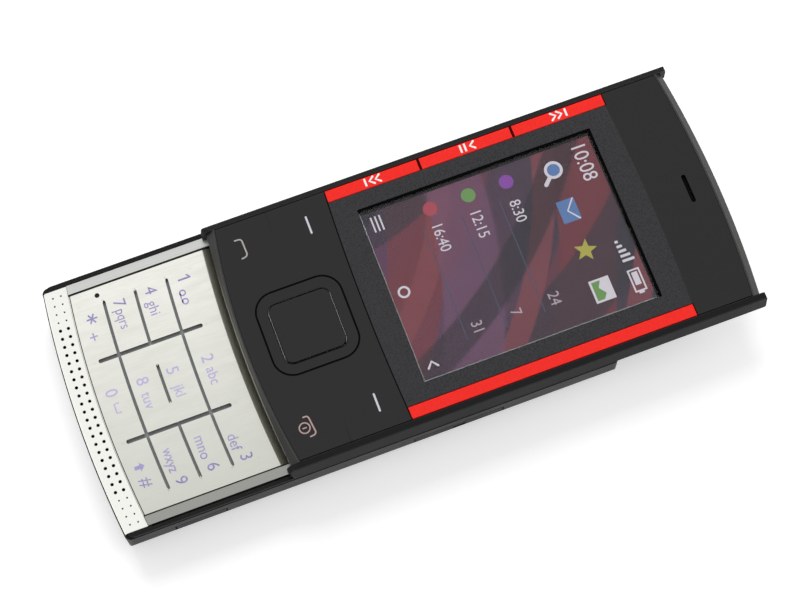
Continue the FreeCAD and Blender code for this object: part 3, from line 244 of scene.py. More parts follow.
def brushed_plate(name):
    """Stainless sheet brushed along the phone. Its lines stretch reflections across them.

    Real brush lines are about 0.05 mm apart; they are drawn 0.16 mm apart so that they show.
    """
    tones = settings().colours
    material, tree, surface, coordinates = start_finish(name, Metallic=1.0)
    lines = grain_of(tree, coordinates, (0.16, 5.0, 0.16), detail=4.0, roughness=0.7)
    cloud = grain_of(tree, coordinates, (1.6, 7.0, 1.6), detail=2.0)
    both = add(tree, "ShaderNodeMath", {0: lines, 1: cloud}, operation="ADD").outputs[0]
    brushed = blend_colours(tree, both, 0.8, 1.25, tones.plate, tones.plate_shade)
    across = add(tree, "ShaderNodeSeparateXYZ", {0: coordinates})
    # Painted shade: the plate gets darker towards its right side, where it reflects less light
    shaded_to_right = blend_colours(tree, across.outputs["X"], -20 * MM, 26 * MM, brushed, linear("#cccdc4"))
    # Painted shade: the cut walls of the slots are near black, and the slope under the slide a darker grey, as
    # both lie in shadow
    slope_end, slope_start = -34.6 * MM, -34.2 * MM
    wall_and_slope_shade = blend_colours(tree, across.outputs["Y"], slope_end, slope_start,
                         linear("#1b1a18"), linear("#c2c0ae"))
    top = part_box("keypad_sheet")[1].z
    with_wall_shade = blend_colours(tree, across.outputs["Z"], top - 0.06 * MM, top - 0.02 * MM, wall_and_slope_shade, shaded_to_right)
    tree.links.new(with_wall_shade, surface.inputs["Base Color"])
    roughen(tree, surface, lines, 0.3, 0.7, 0.3, 0.44)
    raise_grain(tree, surface, lines, 0.004)
    return material


def drawn_rail(name):
    """Drawn steel with fine lines along its length. The right rail is painted darker than the left, as painted
    shade.
    """
    material, tree, surface, coordinates = start_finish(name, Metallic=1.0)
    lines = grain_of(tree, coordinates, (0.12, 16.0, 0.12), detail=2.0)
    bright = settings().colours.rail
    drawn = blend_colours(tree, lines, 0.3, 0.7, bright, [0.93 * c for c in bright[:3]] + [1.0])
    across = add(tree, "ShaderNodeSeparateXYZ", {0: coordinates})
    # Painted shade: the rail gets darker towards the right, where less light falls
    tree.links.new(blend_colours(tree, across.outputs["X"], -20 * MM, 20 * MM, drawn, linear("#9b9c97")),
                   surface.inputs["Base Color"])
    roughen(tree, surface, lines, 0.3, 0.7, 0.28, 0.36)
    return material


def flake_lacquer(name):
    """Dark lacquer over fine metal flake, under the clear screen frame. Flakes give it a grain that
    sparkles. Real flakes are about 0.05 mm; they are drawn at 0.16 mm so that they show.
    """
    tones = settings().colours
    material, tree, surface, coordinates = start_finish(name, **{"Specular IOR Level": 0.36})
    scale = 1 / (0.16 * MM)
    placed = add(tree, "ShaderNodeMapping", {"Vector": coordinates, "Scale": (scale, scale, scale)})
    flakes = add(tree, "ShaderNodeTexVoronoi", {"Vector": placed.outputs[0], "Scale": 1.0})
    level = add(tree, "ShaderNodeSeparateColor", {0: flakes.outputs["Color"]}).outputs[0]
    speckled = blend_colours(tree, level, 0.2, 1.0, tones.flake, linear("#2e2e31"))
    height = add(tree, "ShaderNodeSeparateXYZ", {0: coordinates})
    # Painted shade: the walls of the screen opening, below the top face, are black, for the shadow inside the
    # opening
    wall_top, face_low = 13.93 * MM, 13.98 * MM
    opening_wall_shade = blend_colours(tree, height.outputs["Z"], wall_top, face_low, linear("#050505"), speckled)
    # Beyond a line that falls by bend (1/m) times X squared, the face is plain black, as the keys are
    bend, line_low, line_high = 1.375, 48.53 * MM, 48.57 * MM
    curve = add(tree, "ShaderNodeMath", {0: height.outputs["X"], 1: height.outputs["X"]}, operation="MULTIPLY")
    sagged = add(tree, "ShaderNodeMath", {0: curve.outputs[0], 1: bend, 2: height.outputs["Y"]},
                 operation="MULTIPLY_ADD")
    faced = blend_colours(tree, sagged.outputs[0], line_low, line_high, opening_wall_shade, tones.face)
    tree.links.new(faced, surface.inputs["Base Color"])
    roughen(tree, surface, level, 0.0, 1.0, 0.22, 0.5)
    return material


# A lit screen: no mirror of its own, because the window above it gives that
LIT_SCREEN = {"Base Color": linear("#050505"), "Specular IOR Level": 0.0, "Emission Strength": 0.95}


def lit_picture(name):
    """The lit screen: overlapping arcs of dusky red, plum and charcoal. It gives off its own light."""
    material, tree, surface, coordinates = start_finish(name, **LIT_SCREEN)
    place = add(tree, "ShaderNodeSeparateXYZ", {0: coordinates})
    ground = blend_colours(tree, place.outputs["Y"], -2 * MM, 44 * MM, linear("#5c3b55"), linear("#37353d"))
    # centre of the arcs in mm, spacing of the arcs, where an arc starts, its colour and how much it covers
    arcs = (((-46, -30, 0), 25.0, 0.35, "#633541", 0.8), ((-30, -60, 0), 31.0, 0.5, "#71363e", 0.75),
            ((-60, -12, 0), 37.0, 0.6, "#33313a", 0.75), ((-38, -44, 0), 19.0, 0.78, "#80434b", 0.7),
            ((-24, -80, 0), 43.0, 0.7, "#6f4c66", 0.7), ((-70, -40, 0), 29.0, 0.82, "#2a2931", 0.7))
    for centre, spacing, edge, colour, cover in arcs:
        offset = [-c * MM for c in centre]
        moved = add(tree, "ShaderNodeVectorMath", {0: coordinates, 1: offset}, operation="ADD")
        flat = add(tree, "ShaderNodeVectorMath", {0: moved.outputs[0], 1: (1, 1, 0)}, operation="MULTIPLY")
        away = add(tree, "ShaderNodeVectorMath", {0: flat.outputs[0]}, operation="LENGTH")
        phase = add(tree, "ShaderNodeMath", {0: away.outputs["Value"], 1: math.tau / (spacing * MM)},
                    operation="MULTIPLY")
        wave = add(tree, "ShaderNodeMath", {0: phase.outputs[0]}, operation="SINE")
        ground = blend_colours(tree, wave.outputs[0], edge - 0.04, edge + 0.04, ground, linear(colour), cover)
    tree.links.new(ground, surface.inputs["Emission Color"])
    return material


def lit_mark(name, code):
    """A lit mark on the screen. Rows of picture dots, drawn 0.28 mm apart, give it its fine lines."""
    material, tree, surface, coordinates = start_finish(name, **LIT_SCREEN)
    dots = 0.28 * MM
    place = add(tree, "ShaderNodeSeparateXYZ", {0: coordinates})
    phase = add(tree, "ShaderNodeMath", {0: place.outputs["Y"], 1: math.tau / dots}, operation="MULTIPLY")
    rows = add(tree, "ShaderNodeMath", {0: phase.outputs[0]}, operation="SINE")
    full = linear(code)
    dim = [0.82 * c for c in full[:3]] + [1.0]
    tree.links.new(blend_colours(tree, rows.outputs[0], -1, 1, full, dim), surface.inputs["Emission Color"])
    return material


def key_ink(name):
    """Thin see-through ink let into the metal keys. It is painted paler towards the middle columns, as a
    painted reflection of the light on the keypad.
    """
    tones = settings().colours
    material, tree, surface, coordinates = start_finish(name, Roughness=0.45)
    place = add(tree, "ShaderNodeSeparateXYZ", {0: coordinates})
    distance = add(tree, "ShaderNodeMath", {0: place.outputs["X"]}, operation="ABSOLUTE")
    # Painted reflection: the print is paler towards the middle of the keypad
    colour = blend_colours(tree, distance.outputs[0], 8 * MM, 17.5 * MM, tones.legend_pale_lit, tones.legend)
    speck = grain_of(tree, coordinates, 0.2)
    speckled = blend_colours(tree, speck, 0.3, 0.8, colour, tones.legend_pale_lit)
    tree.links.new(speckled, surface.inputs["Base Color"])
    return material


def clear_glass(name):
    """Clear window with a coating that halves its mirror, so the picture shows through a faint haze."""
    material, tree, surface, coordinates = start_finish(
        name, **{"Roughness": 0.0, "IOR": 1.3, "Transmission Weight": 1.0})
    tint_of = grain_of(tree, coordinates, 9.0)
    tree.links.new(blend_colours(tree, tint_of, 0.3, 0.7, linear("#fafbfc"), linear("#f4f6f8")),
                   surface.inputs["Base Color"])
    return material


# What the finishes of a kind share, in the order of the table below
STEEL = (0.002, 0.5, 1.0)
PAINT = (0.12, (0.3, 0.45), 0.003, 0.05, 0.0)
MOULDED = (0.25, (0.45, 0.65), 0.004, 0.2)
INK = (0.2, (0.4, 0.55))

# Finishes by their real material: colour, shade, grain (mm), smooth and rough, then depth, mirror, metal
# and edge colour, painted for rubbed wear and as a highlight. A comment says what the material gives the eye.
SURFACES = {
    # stainless steel, pressed and satin blasted: nearly white
    "satin_blasted_steel": ("grille", "#f0f0ea", 0.12, (0.4, 0.55), *STEEL),
    # silicone rubber: matt, no mirror
    "silicone_rubber": ("#909393", "#868989", 0.3, (0.6, 0.8), 0.01),
    # gloss black acrylic: a dark clear mirror
    "gloss_black_acrylic": ("face", "#101010", 0.15, (0.12, 0.3), 0.0008, 0.36),
    # gloss red acrylic: saturated, with a soft mirror
    "gloss_red_acrylic": ("red", "#f21d13", 0.4, (0.14, 0.3), 0.001, 0.3),
    # satin paint on metal and plastic: even, with rubbed edges and a painted edge highlight
    "graphite_paint": ("slide_paint", "#202021", *PAINT, "#4a4a4a"),
    "cap_paint": ("#353534", "#2f2f2e", 0.12, (0.3, 0.45), 0.003, 0.25, 0.0, "#5a5a5a"),
    "side_paint": ("side_paint", "#262525", *PAINT, "#4b4a49"),
    "rim_paint": ("rim_paint", "#201f1f", *PAINT, "#484746"),
    "cover_paint": ("#2f2f30", "#2a2a2b", *PAINT, "#535355"),
    "side_key_paint": ("#111111", "#0c0c0c", *PAINT, "#333232"),
    # polyester film over the domes: milky, slightly glossy
    "dome_film": ("#c9c9be", "#bcbcb0", 1.2, (0.25, 0.4), 0.01),
    # solder mask on glass fibre: green, glossy, with the weave under it
    "solder_mask": ("#1d5b35", "#174c2b", 0.5, (0.2, 0.35), 0.006),
    # steel, tinned: pale; oxidised: dark; drawn to wire; stamped, with long rolling lines
    "tinned_steel": ("#bfc1c3", "#aeb0b2", 0.6, (0.25, 0.45), *STEEL),
    "blackened_screw_steel": ("#6d6d70", "#5f5f62", 0.1, (0.3, 0.45), *STEEL),
    "spring_wire": ("#8e9092", "#7f8183", 0.2, (0.2, 0.35), *STEEL),
    "stamped_steel": ("#a2a2a4", "#909092", (0.25, 3.0, 0.25), (0.3, 0.48), *STEEL),
    # printed wrap round the battery: pale, slightly creased
    "battery_wrap": ("#cccfd1", "#c0c3c5", 2.0, (0.35, 0.5), 0.02),
    # moulded nylon: dark, finely spark-eroded
    "black_nylon": ("#0f0f0f", "#171717", *MOULDED),
    # polyimide ribbon with copper under it: amber
    "polyimide_ribbon": ("#b57a2c", "#a56a20", (0.4, 6.0, 0.4), (0.25, 0.4), 0.004),
    # blackened glass of the screen's edge: dark, no mirror under the window
    "display_black": ("#050505", "#080808", 0.3, (0.3, 0.45), 0.0, 0.03),
    # woven polyester: dark and dull
    "woven_black_polyester": ("#1c1a19", "#141211", *MOULDED),
    # painted shade: flat matt black in gaps, grooves, dimples and behind the earpiece mesh, where shadow falls
    "painted_shade_black": ("#050505", "#080808", 0.2, (0.6, 0.75), 0.0, 0.03),
    # printing ink: even and satin
    "white_ink": ("print_white", "#c6c6d0", *INK),
    "bright_white_ink": ("#fbfbfb", "#f0f0f0", *INK),
    "grey_ink": ("#b3afab", "#a6a29e", *INK),
    "pink_ink": ("#bda19d", "#ae928e", *INK),
    # painted highlight on the screen's right and lower edges: grey, satin
    "edge_highlight_grey": ("#8d8d8f", "#7c7c7e", 0.4, (0.3, 0.5)),
}
# Finishes with a pattern of their own
PATTERNS = {
    "brushed_stainless_plate": brushed_plate, "drawn_steel_rail": drawn_rail,
    "metal_flake_lacquer": flake_lacquer, "clear_acrylic": clear_glass, "key_ink": key_ink,
    "lit_picture": lit_picture,
}
# Lit marks on the screen, by their colour
LIT_MARKS = {
    "lit_white": "#dcd6de", "lit_dim": "#b9a9b4", "lit_plum": "#8a4aa6", "lit_yellow": "#b4ac4e",
    "lit_blue": "#5d7fb4", "lit_green": "#6e9a58", "lit_rose": "#b04a58", "lit_slate": "#4b5068",
}


def finish(name):
    """The material of that name, made the first time it is asked for."""
    if name in bpy.data.materials:
        return bpy.data.materials[name]
    if name in LIT_MARKS:
        return lit_mark(name, LIT_MARKS[name])
    return PATTERNS[name](name) if name in PATTERNS else surfaced(name, *SURFACES[name])


def dress(table):
    """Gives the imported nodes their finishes, from a table of finishes and the nodes that have each."""
    for look, names in table.items():
        for name in names.split():
            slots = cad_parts[name].data.materials
            slots.clear()
            slots.append(finish(look))


# Shapes

def to_piece(mesh, name, looks, body):
    """A finished piece from a mesh that is already in its place."""
    piece = put(name, mesh)
    mesh.name = name
    for look in looks:
        mesh.materials.append(finish(look))
    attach(piece, body)


def slab(shape, loops, low, high, look=0):
    """Adds an outline, or a ring between two outlines of as many points, from height low to high (mm)."""
    faces = []
    under, over = [[[shape.verts.new((x * MM, y * MM, z * MM)) for x, y in loop] for loop in loops]
                   for z in (low, high)]

    def strip(first, second, turned):
        for i in range(len(first)):
            j = (i + 1) % len(first)
            corners = [first[i], first[j], second[j], second[i]]
            faces.append(shape.faces.new(corners[::-1] if turned else corners))

    if len(loops) == 1:
        faces += [shape.faces.new(over[0]), shape.faces.new(under[0][::-1])]
    else:
        strip(*under, True)
        strip(*over, False)
    for side in range(len(loops)):
        strip(under[side], over[side], side == 1)
    for face in faces:
        face.material_index = look


def close_shape(shape):
    """A bmesh as a mesh, with its faces outward."""
    bmesh.ops.recalc_face_normals(shape, faces=shape.faces)
    flat = [f for f in shape.faces if len(f.verts) > 4]
    bmesh.ops.triangulate(shape, faces=flat)
    mesh = bpy.data.meshes.new("shape")
    shape.to_mesh(mesh)
    shape.free()
    return mesh


def build(name, looks, body, slabs):
    """A finished piece of slabs, each given by its outlines, low, high and, if not the first, its look."""
    shape = bmesh.new()
    for values in slabs:
        slab(shape, *values)
    to_piece(close_shape(shape), name, looks, body)


def top_of(name):
    """The height of a node's top (mm)."""
    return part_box(name)[1].z / MM


def ink_levels(key):
    """The foot of the ink on a key, sunk a little into it, and its top (mm)."""
    sunk = 0.004
    low = top_of(key) - sunk
    return low, low + (settings().sizes.print_height / MM + sunk)


def arc(centre, radius, start, end, count=12):
    """Points on an arc, in degrees."""
    turns = [math.radians(start + (end - start) * i / count) for i in range(count + 1)]
    return [(centre[0] + radius * math.cos(t), centre[1] + radius * math.sin(t)) for t in turns]


def stroke(points, width):
    """The outline of a pen line through points, with round ends."""
    half = width / 2
    left, right, ends = [], [], []
    for i, (x, y) in enumerate(points):
        before = points[max(i - 1, 0)]
        after = points[min(i + 1, len(points) - 1)]
        length = math.hypot(after[0] - before[0], after[1] - before[1])
        dx, dy = (after[0] - before[0]) / length, (after[1] - before[1]) / length
        left.append((x - dy * half, y + dx * half))
        right.append((x + dy * half, y - dx * half))
        if i in (0, len(points) - 1):
            start = math.degrees(math.atan2(dy, dx)) + (-90 if i else 90)
            ends.append(arc((x, y), half, start, start + 180, 6)[1:-1])
    return ends[0] + right + ends[1] + left[::-1]


def circle_line(centre, radius, width, count=28):
    """A ring as an outer and an inner outline."""
    outer = arc(centre, radius + width / 2, 0, 360, count)[:-1]
    return [outer, arc(centre, radius - width / 2, 0, 360, count)[:-1]]


def spokes(centre, reach, width, count):
    """The outline of evenly spaced bars that cross at their middle; the first points along Y."""
    outline = []
    for i in range(count):
        turn = math.radians(90 + 360 * i / count)
        half = math.pi / count
        along, side = (math.cos(turn), math.sin(turn)), (-math.sin(turn), math.cos(turn))
        notch = width / 2 / math.sin(half)
        for far, out in ((notch * math.cos(half), -width / 2), (reach, -width / 2), (reach, width / 2)):
            outline.append(tuple(c + far * a + out * b for c, a, b in zip(centre, along, side)))
    return outline


def rectangle(x0, x1, y0, y1):
    """The outline of a box between two X and two Y."""
    return [(x0, y0), (x1, y0), (x1, y1), (x0, y1)]


def disc(centre, radius, count=24):
    """The outline of a round spot."""
    return arc(centre, radius, 0, 360, count)[:-1]


def bowed(line, radius, x0, x1, count):
    """Points from x0 to x1 on an arc of that radius, whose lowest point is at line."""
    places = [x0 + (x1 - x0) * i / count for i in range(count + 1)]
    return [(x, line + x * x / (2 * radius)) for x in places]


def write(shape, look, text, height, centre, low, high, narrow=1.0, weight=0.0):
    """Adds text to a shape: height is that of a digit, centre is in the phone's X and Y (mm)."""
    curve = bpy.data.curves.new("lettering", "FONT")
    curve.body = text
    curve.align_x = "CENTER"
    curve.align_y = "BOTTOM_BASELINE"
    digit_share = 0.73
    curve.size = height / digit_share
    curve.offset = weight
    curve.extrude = 0.5
    curve.resolution_u = 4
    writing = put("lettering", curve)
    mesh = plain_mesh(writing)
    bpy.data.objects.remove(writing)
    bpy.data.curves.remove(curve)
    # the letters' middle to 0, and their thickness of 1 upward from 0
    across = [v.co.x for v in mesh.vertices]
    mesh.transform(Matrix.Translation((-(min(across) + max(across)) / 2, 0, 0.5)))
    mesh.transform(Matrix.Diagonal((narrow * MM, MM, (high - low) * MM, 1.0)))
    mesh.transform(Matrix.Translation((centre[0] * MM, (centre[1] - height / 2) * MM, low * MM)))
    start = len(shape.faces)
    shape.from_mesh(mesh)
    shape.faces.ensure_lookup_table()
    for face in shape.faces[start:]:
        face.material_index = look
    bpy.data.meshes.remove(mesh)


# Repeated pieces

def wire_row_tree():
    """Geometry nodes: Count round wires, Step apart from Start, each Length long, lying along Turn."""
    tree = bpy.data.node_groups.new("wire_row", "GeometryNodeTree")
    for name, kind in (("Count", "Int"), ("Start", "Vector"), ("Step", "Vector"), ("Length", "Float"),
                       ("Radius", "Float"), ("Turn", "Vector"), ("Finish", "Material")):
        tree.interface.new_socket(name=name, in_out="INPUT", socket_type=f"NodeSocket{kind}")
    tree.interface.new_socket(name="Geometry", in_out="OUTPUT", socket_type="NodeSocketGeometry")
    given = add(tree, "NodeGroupInput").outputs
    line = add(tree, "GeometryNodeMeshLine", {"Count": given["Count"], "Start Location": given["Start"],
                                              "Offset": given["Step"]})
    wire = add(tree, "GeometryNodeMeshCylinder", {"Vertices": 10, "Radius": given["Radius"],
                                                  "Depth": given["Length"]})
    turn = add(tree, "FunctionNodeEulerToRotation", {"Euler": given["Turn"]})
    placed = add(tree, "GeometryNodeInstanceOnPoints", {"Points": line.outputs[0], "Instance": wire.outputs[0],
                                                        "Rotation": turn.outputs[0]})
    real = add(tree, "GeometryNodeRealizeInstances", {"Geometry": placed.outputs[0]})
    dressed = add(tree, "GeometryNodeSetMaterial", {"Geometry": real.outputs[0], "Material": given["Finish"]})
    add(tree, "NodeGroupOutput", {"Geometry": dressed.outputs[0]})
    return tree


def grow(tree, values):
    """The plain mesh that a geometry node tree makes from named values."""
    carrier = put("carrier", bpy.data.meshes.new("carrier"))
    modifier = carrier.modifiers.new("rows", "NODES")
    modifier.node_group = tree
    names = {s.name: s.identifier for s in tree.interface.items_tree if s.in_out == "INPUT"}
    for name, value in values.items():
        modifier[names[name]] = value
    mesh = plain_mesh(carrier)
    carrier.modifiers.clear()
    bpy.data.objects.remove(carrier)
    return mesh


def wire_rows(rows, look):
    """One mesh from several rows of wires; sizes are millimetres."""
    tree = wire_row_tree()
    shape = bmesh.new()
    for count, start, step, length, radius, turn in rows:
        mesh = grow(tree, {"Count": count, "Start": [v * MM for v in start], "Step": [v * MM for v in step],
                           "Length": length * MM, "Radius": radius * MM, "Turn": turn, "Finish": finish(look)})
        shape.from_mesh(mesh)
        bpy.data.meshes.remove(mesh)
    bpy.data.node_groups.remove(tree)
    mesh = bpy.data.meshes.new("rows")
    shape.to_mesh(mesh)
    shape.free()
    return mesh


# The pieces

# Finishes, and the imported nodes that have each
CASE = {
    "side_paint": "lower_frame", "cover_paint": "battery_cover", "rim_paint": "upper_frame",
    "satin_blasted_steel": "speaker_grille", "drawn_steel_rail": "rail_left rail_right",
    "graphite_paint": "slide_housing", "cap_paint": "end_cap_lower end_cap_upper",
    "metal_flake_lacquer": "lens_frame", "clear_acrylic": "display_window camera_window",
    "gloss_red_acrylic": "music_trim",
}
KEYS = {
    "brushed_stainless_plate": "keypad_sheet key_1 key_2 key_3 key_4 key_5 key_6 key_7 key_8 key_9 "
                               "key_star key_0 key_hash",
    "silicone_rubber": "keypad_mat",
    "gloss_black_acrylic": "soft_key_left soft_key_right call_key end_key centre_key nav_ring",
    "gloss_red_acrylic": "music_key_back music_key_play music_key_next",
    "side_key_paint": "volume_rocker camera_key",
}
INSIDE = {
    "dome_film": "dome_sheet", "solder_mask": "main_board key_board",
    "tinned_steel": "shield_cans sim_holder vibration_motor microphone usb_socket nav_rocker_plate",
    "blackened_screw_steel": "board_screws slide_screws", "battery_wrap": "battery",
    "black_nylon": "battery_connector loudspeaker camera_module end_stops audio_jack earpiece",
    "spring_wire": "slide_spring", "polyimide_ribbon": "flex_cable", "stamped_steel": "slide_plate",
    "display_black": "display_module",
}
# Digit and its place, letters and their place (mm)
LEGENDS = {
    "key_1": ("1", (-17.51, -35.13), "", None),
    "key_2": ("2", (-1.70, -35.96), "abc", (1.67, -35.99)),
    "key_3": ("3", (17.76, -35.37), "def", (14.61, -36.52)),
    "key_4": ("4", (-17.45, -41.45), "ghi", (-14.1, -41.95)),
    "key_5": ("5", (-1.79, -42.54), "jkl", (2.16, -42.56)),
    "key_6": ("6", (17.42, -41.41), "mno", (13.48, -42.11)),
    "key_7": ("7", (-17.09, -47.48), "pqrs", (-14.1, -47.8)),
    "key_8": ("8", (-1.75, -48.21), "tuv", (1.96, -48.32)),
    "key_9": ("9", (17.82, -47.50), "wxyz", (13.7, -48.1)),
    "key_star": ("*", (-16.0, -53.15), "+", (-12.65, -53.86)),
    "key_0": ("0", (-1.60, -54.08), "", None),
    "key_hash": ("#", (15.99, -53.38), "", None),
}


class PHONE_OT_camera(bpy.types.Operator):
    """Sets the camera where the picture was taken from"""
    bl_idname = "phone.camera"
    bl_label = "Camera"

    def execute(self, context):
        lens = bpy.data.cameras.new("camera")
        lens.sensor_width = SENSOR_WIDTH
        lens.lens = CAMERA_FOCUS_PIXELS * SENSOR_WIDTH / IMAGE_WIDTH
        lens.clip_start = 0.01
        camera = put("camera", lens)
        camera.location = [v * MM for v in CAMERA_PLACE]
        camera.rotation_euler = Euler([math.radians(v) for v in CAMERA_TURN])
        context.scene.camera = camera
        return {"FINISHED"}


class PHONE_OT_stage(bpy.types.Operator):
    """Adds the pale floor, the white room and the soft lamps"""
    bl_idname = "phone.stage"
    bl_label = "Floor and light"

    def seen_share(self, tree):
        """1 for what the camera sees straight, in a mirror or through glass, 0 for light on things."""
        path = add(tree, "ShaderNodeLightPath").outputs
        mirror = add(tree, "ShaderNodeMath", {0: path["Is Camera Ray"], 1: path["Is Glossy Ray"]},
                     operation="ADD")
        glass = add(tree, "ShaderNodeMath", {0: mirror.outputs[0], 1: path["Is Transmission Ray"]},
                    operation="ADD", use_clamp=True)
        return glass.outputs[0]

    def execute(self, context):
        studio = settings().studio
        half = studio.floor_size / 2
        gap = 0.05 * MM
        mesh = bpy.data.meshes.new("floor")
        corners = [(-half, -half, -gap), (half, -half, -gap), (half, half, -gap), (-half, half, -gap)]
        mesh.from_pydata(corners, [], [(0, 1, 2, 3)])
        floor = put("floor", mesh)
        # Painted board: takes the shadow, and its own glow lifts it to the white of the picture
        material, tree, surface, coordinates = start_finish(
            "white_board", **{"Roughness": 0.9, "Specular IOR Level": 0.0, "Emission Color": (1, 1, 1, 1)})
        mottle = grain_of(tree, coordinates, 30.0)
        tree.links.new(blend_colours(tree, mottle, 0.3, 0.7, linear("#e6e6e6"), linear("#e9e9e9")),
                       surface.inputs["Base Color"])
        glow = add(tree, "ShaderNodeMath", {0: self.seen_share(tree), 1: 0.46}, operation="MULTIPLY")
        tree.links.new(glow.outputs[0], surface.inputs["Emission Strength"])
        mesh.materials.append(material)

        world = bpy.data.worlds.new("white_room")
        context.scene.world = world
        world.use_nodes = True
        tree = world.node_tree
        tree.nodes.clear()
        level = add(tree, "ShaderNodeMapRange", {"Value": self.seen_share(tree), "To Min": studio.fill})
        light = add(tree, "ShaderNodeBackground", {"Color": (1, 1, 1, 1), "Strength": level.outputs[0]})
        add(tree, "ShaderNodeOutputWorld", {"Surface": light.outputs[0]})

        # name, place, what it looks at, size (m), share of the main lamp's power
        for name, place, aim, size, share in (("main_lamp", (-0.75, 0.05, 0.9), (0, 0, 0), 0.6, 1.0),
                                              ("end_lamp", (0.1, 0.9, 0.7), (0, 0, 0), 0.5, 0.3)):
            lamp = bpy.data.lights.new(name, "AREA")
            lamp.size = size
            lamp.energy = studio.lamp_power * share
            holder = put(name, lamp)
            # mirrors show the even white room and not the lamp's square
            holder.visible_glossy = False
            holder.location = place
            holder.rotation_euler = (Vector(aim) - Vector(place)).to_track_quat("-Z", "Y").to_euler()
        context.scene.view_settings.view_transform = "Standard"
        return {"FINISHED"}


class PHONE_OT_case(bpy.types.Operator):
    """Finishes the shells, frames, rails and windows"""
    bl_idname = "phone.case"
    bl_label = "Case"

    def execute(self, context):
        dress(CASE)
        return {"FINISHED"}


class PHONE_OT_keys(bpy.types.Operator):
    """Finishes the keypad plate, its keys and the face keys"""
    bl_idname = "phone.keys"
    bl_label = "Keys"

    def execute(self, context):
        dress(KEYS)
        return {"FINISHED"}


class PHONE_OT_inside(bpy.types.Operator):
    """Finishes the boards, battery, screen and other parts inside"""
    bl_idname = "phone.inside"
    bl_label = "Inside"

    def execute(self, context):
        dress(INSIDE)
        return {"FINISHED"}


class PHONE_OT_keypad_print(bpy.types.Operator):
    """Prints the digits and letters on the keypad"""
    bl_idname = "phone.keypad_print"
    bl_label = "Keypad print"

    def execute(self, context):
        sizes = settings().sizes
        small_x_share = 0.57
        digit, letter = sizes.digit_height / MM, sizes.letter_height / MM / small_x_share
        line = 0.26
        for key, (number, number_at, letters, letters_at) in LEGENDS.items():
            low, high = ink_levels(key)
            shape = bmesh.new()

            def ink(*loops):
                slab(shape, loops, low, high)

            if number == "*":
                ink(spokes(number_at, 1.0, 0.3, 6))
            elif number == "1":
                x, y = number_at
                one = [(-0.05, -1.17), (0.27, -1.17), (0.27, 1.17), (0.02, 1.17), (-0.55, 0.7), (-0.55, 0.38),
                       (-0.05, 0.75)]
                ink([(x + a, y + b) for a, b in one])
            else:
                write(shape, 0, number, digit, number_at, low, high, narrow=0.95)
            if letters == "+":
                ink(spokes(letters_at, 0.75, line, 4))
            elif letters:
                narrow = 0.9 if len(letters) < 4 else 0.8
                write(shape, 0, letters, letter, letters_at, low, high, narrow, weight=0.004)
            if key == "key_1":
                # a tape with its two reels
                x, y = -14.08, -36.29
                for side in (-0.85, 0.85):
                    ink(*circle_line((x + side, y), 0.5, line))
                ink(stroke([(x - 0.85, y - 0.5), (x + 0.85, y - 0.5)], line))
            if key == "key_0":
                # an open tray
                x, y = 1.41, -53.94
                tray = [(-0.9, 0.35), (-0.9, -0.45), (0.9, -0.45), (0.9, 0.35)]
                ink(stroke([(x + a, y + b) for a, b in tray], line))
            if key == "key_hash":
                # an arrow, the right half and its mirror image
                x, y = 13.0, -53.8
                half = [(0.85, 0.1), (0.35, 0.1), (0.35, -0.9)]
                whole = [(0, 1.0)] + [(-a, b) for a, b in half] + half[::-1]
                ink([(x + a, y + b) for a, b in whole])
            to_piece(close_shape(shape), f"print_{key}", ["key_ink"], key)
        return {"FINISHED"}


class PHONE_OT_face_print(bpy.types.Operator):
    """Prints the marks on the call, end and soft keys"""
    bl_idname = "phone.face_print"
    bl_label = "Face print"

    def execute(self, context):
        width, dash, power = settings().sizes.stroke / MM, 0.36, 0.24
        marks = {
            "soft_key_left": ([(-19.3, -10.85), (-16.1, -10.85)], dash, "white_ink"),
            "soft_key_right": ([(16.1, -10.85), (19.3, -10.85)], dash, "white_ink"),
            "call_key": ([(-19.54, -24.39), (-19.5, -23.85)] + arc((-18.9, -23.75), 0.62, 170, 100, 5)
                         + [(-17.3, -23.1)] + arc((-16.6, -23.75), 0.68, 85, 5, 6) + [(-15.85, -24.2)],
                         width, "grey_ink"),
            "end_key": ([(15.71, -23.92), (15.70, -23.6)] + arc((16.2, -23.5), 0.5, 175, 100, 5)
                        + [(18.3, -22.75)] + arc((18.75, -23.3), 0.62, 85, 5, 6) + [(19.42, -23.80)],
                        width, "pink_ink"),
        }
        for key, (points, pen, look) in marks.items():
            loops = [[stroke(points, pen)]]
            if key == "end_key":
                loops += [circle_line((17.62, -24.3), 0.95, power),
                          [stroke([(17.62, -24.6), (17.62, -24.0)], power)]]
            build(f"print_{key}", [look], key, [(loop, *ink_levels(key)) for loop in loops])
        return {"FINISHED"}


class PHONE_OT_music_print(bpy.types.Operator):
    """Prints the marks on the music keys, and paints shade at their ends"""
    bl_idname = "phone.music_print"
    bl_label = "Music print"

    def execute(self, context):
        x, half, pen = -21.75, 0.78, 0.38

        def bar(y):
            return rectangle(x - half, x + half, y - pen / 2, y + pen / 2)

        def chevron(y, ahead):
            tip = y + ahead * 0.42
            back = y - ahead * 0.42
            return stroke([(x - half + 0.1, back), (x, tip), (x + half - 0.1, back)], pen)

        marks = {
            "music_key_back": [bar(1.55), chevron(2.75, -1), chevron(3.95, -1)],
            "music_key_play": [bar(20.1), bar(20.95), chevron(22.3, -1)],
            "music_key_next": [chevron(38.3, 1), chevron(39.5, 1), bar(40.7)],
        }
        for key, outlines in marks.items():
            low, high = ink_levels(key)
            slabs = [([outline], low, high) for outline in outlines]
            # painted shade: black strips at the ends of the keys, beside the gaps between them
            near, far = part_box(key)
            for y, other in ((near.y / MM, "music_key_back"), (far.y / MM - 0.2, "music_key_next")):
                if key != other:
                    slabs.append(([rectangle(near.x / MM + 0.05, far.x / MM - 0.05, y, y + 0.2)], low, high, 1))
            build(f"print_{key}", ["bright_white_ink", "painted_shade_black"], key, slabs)
        return {"FINISHED"}


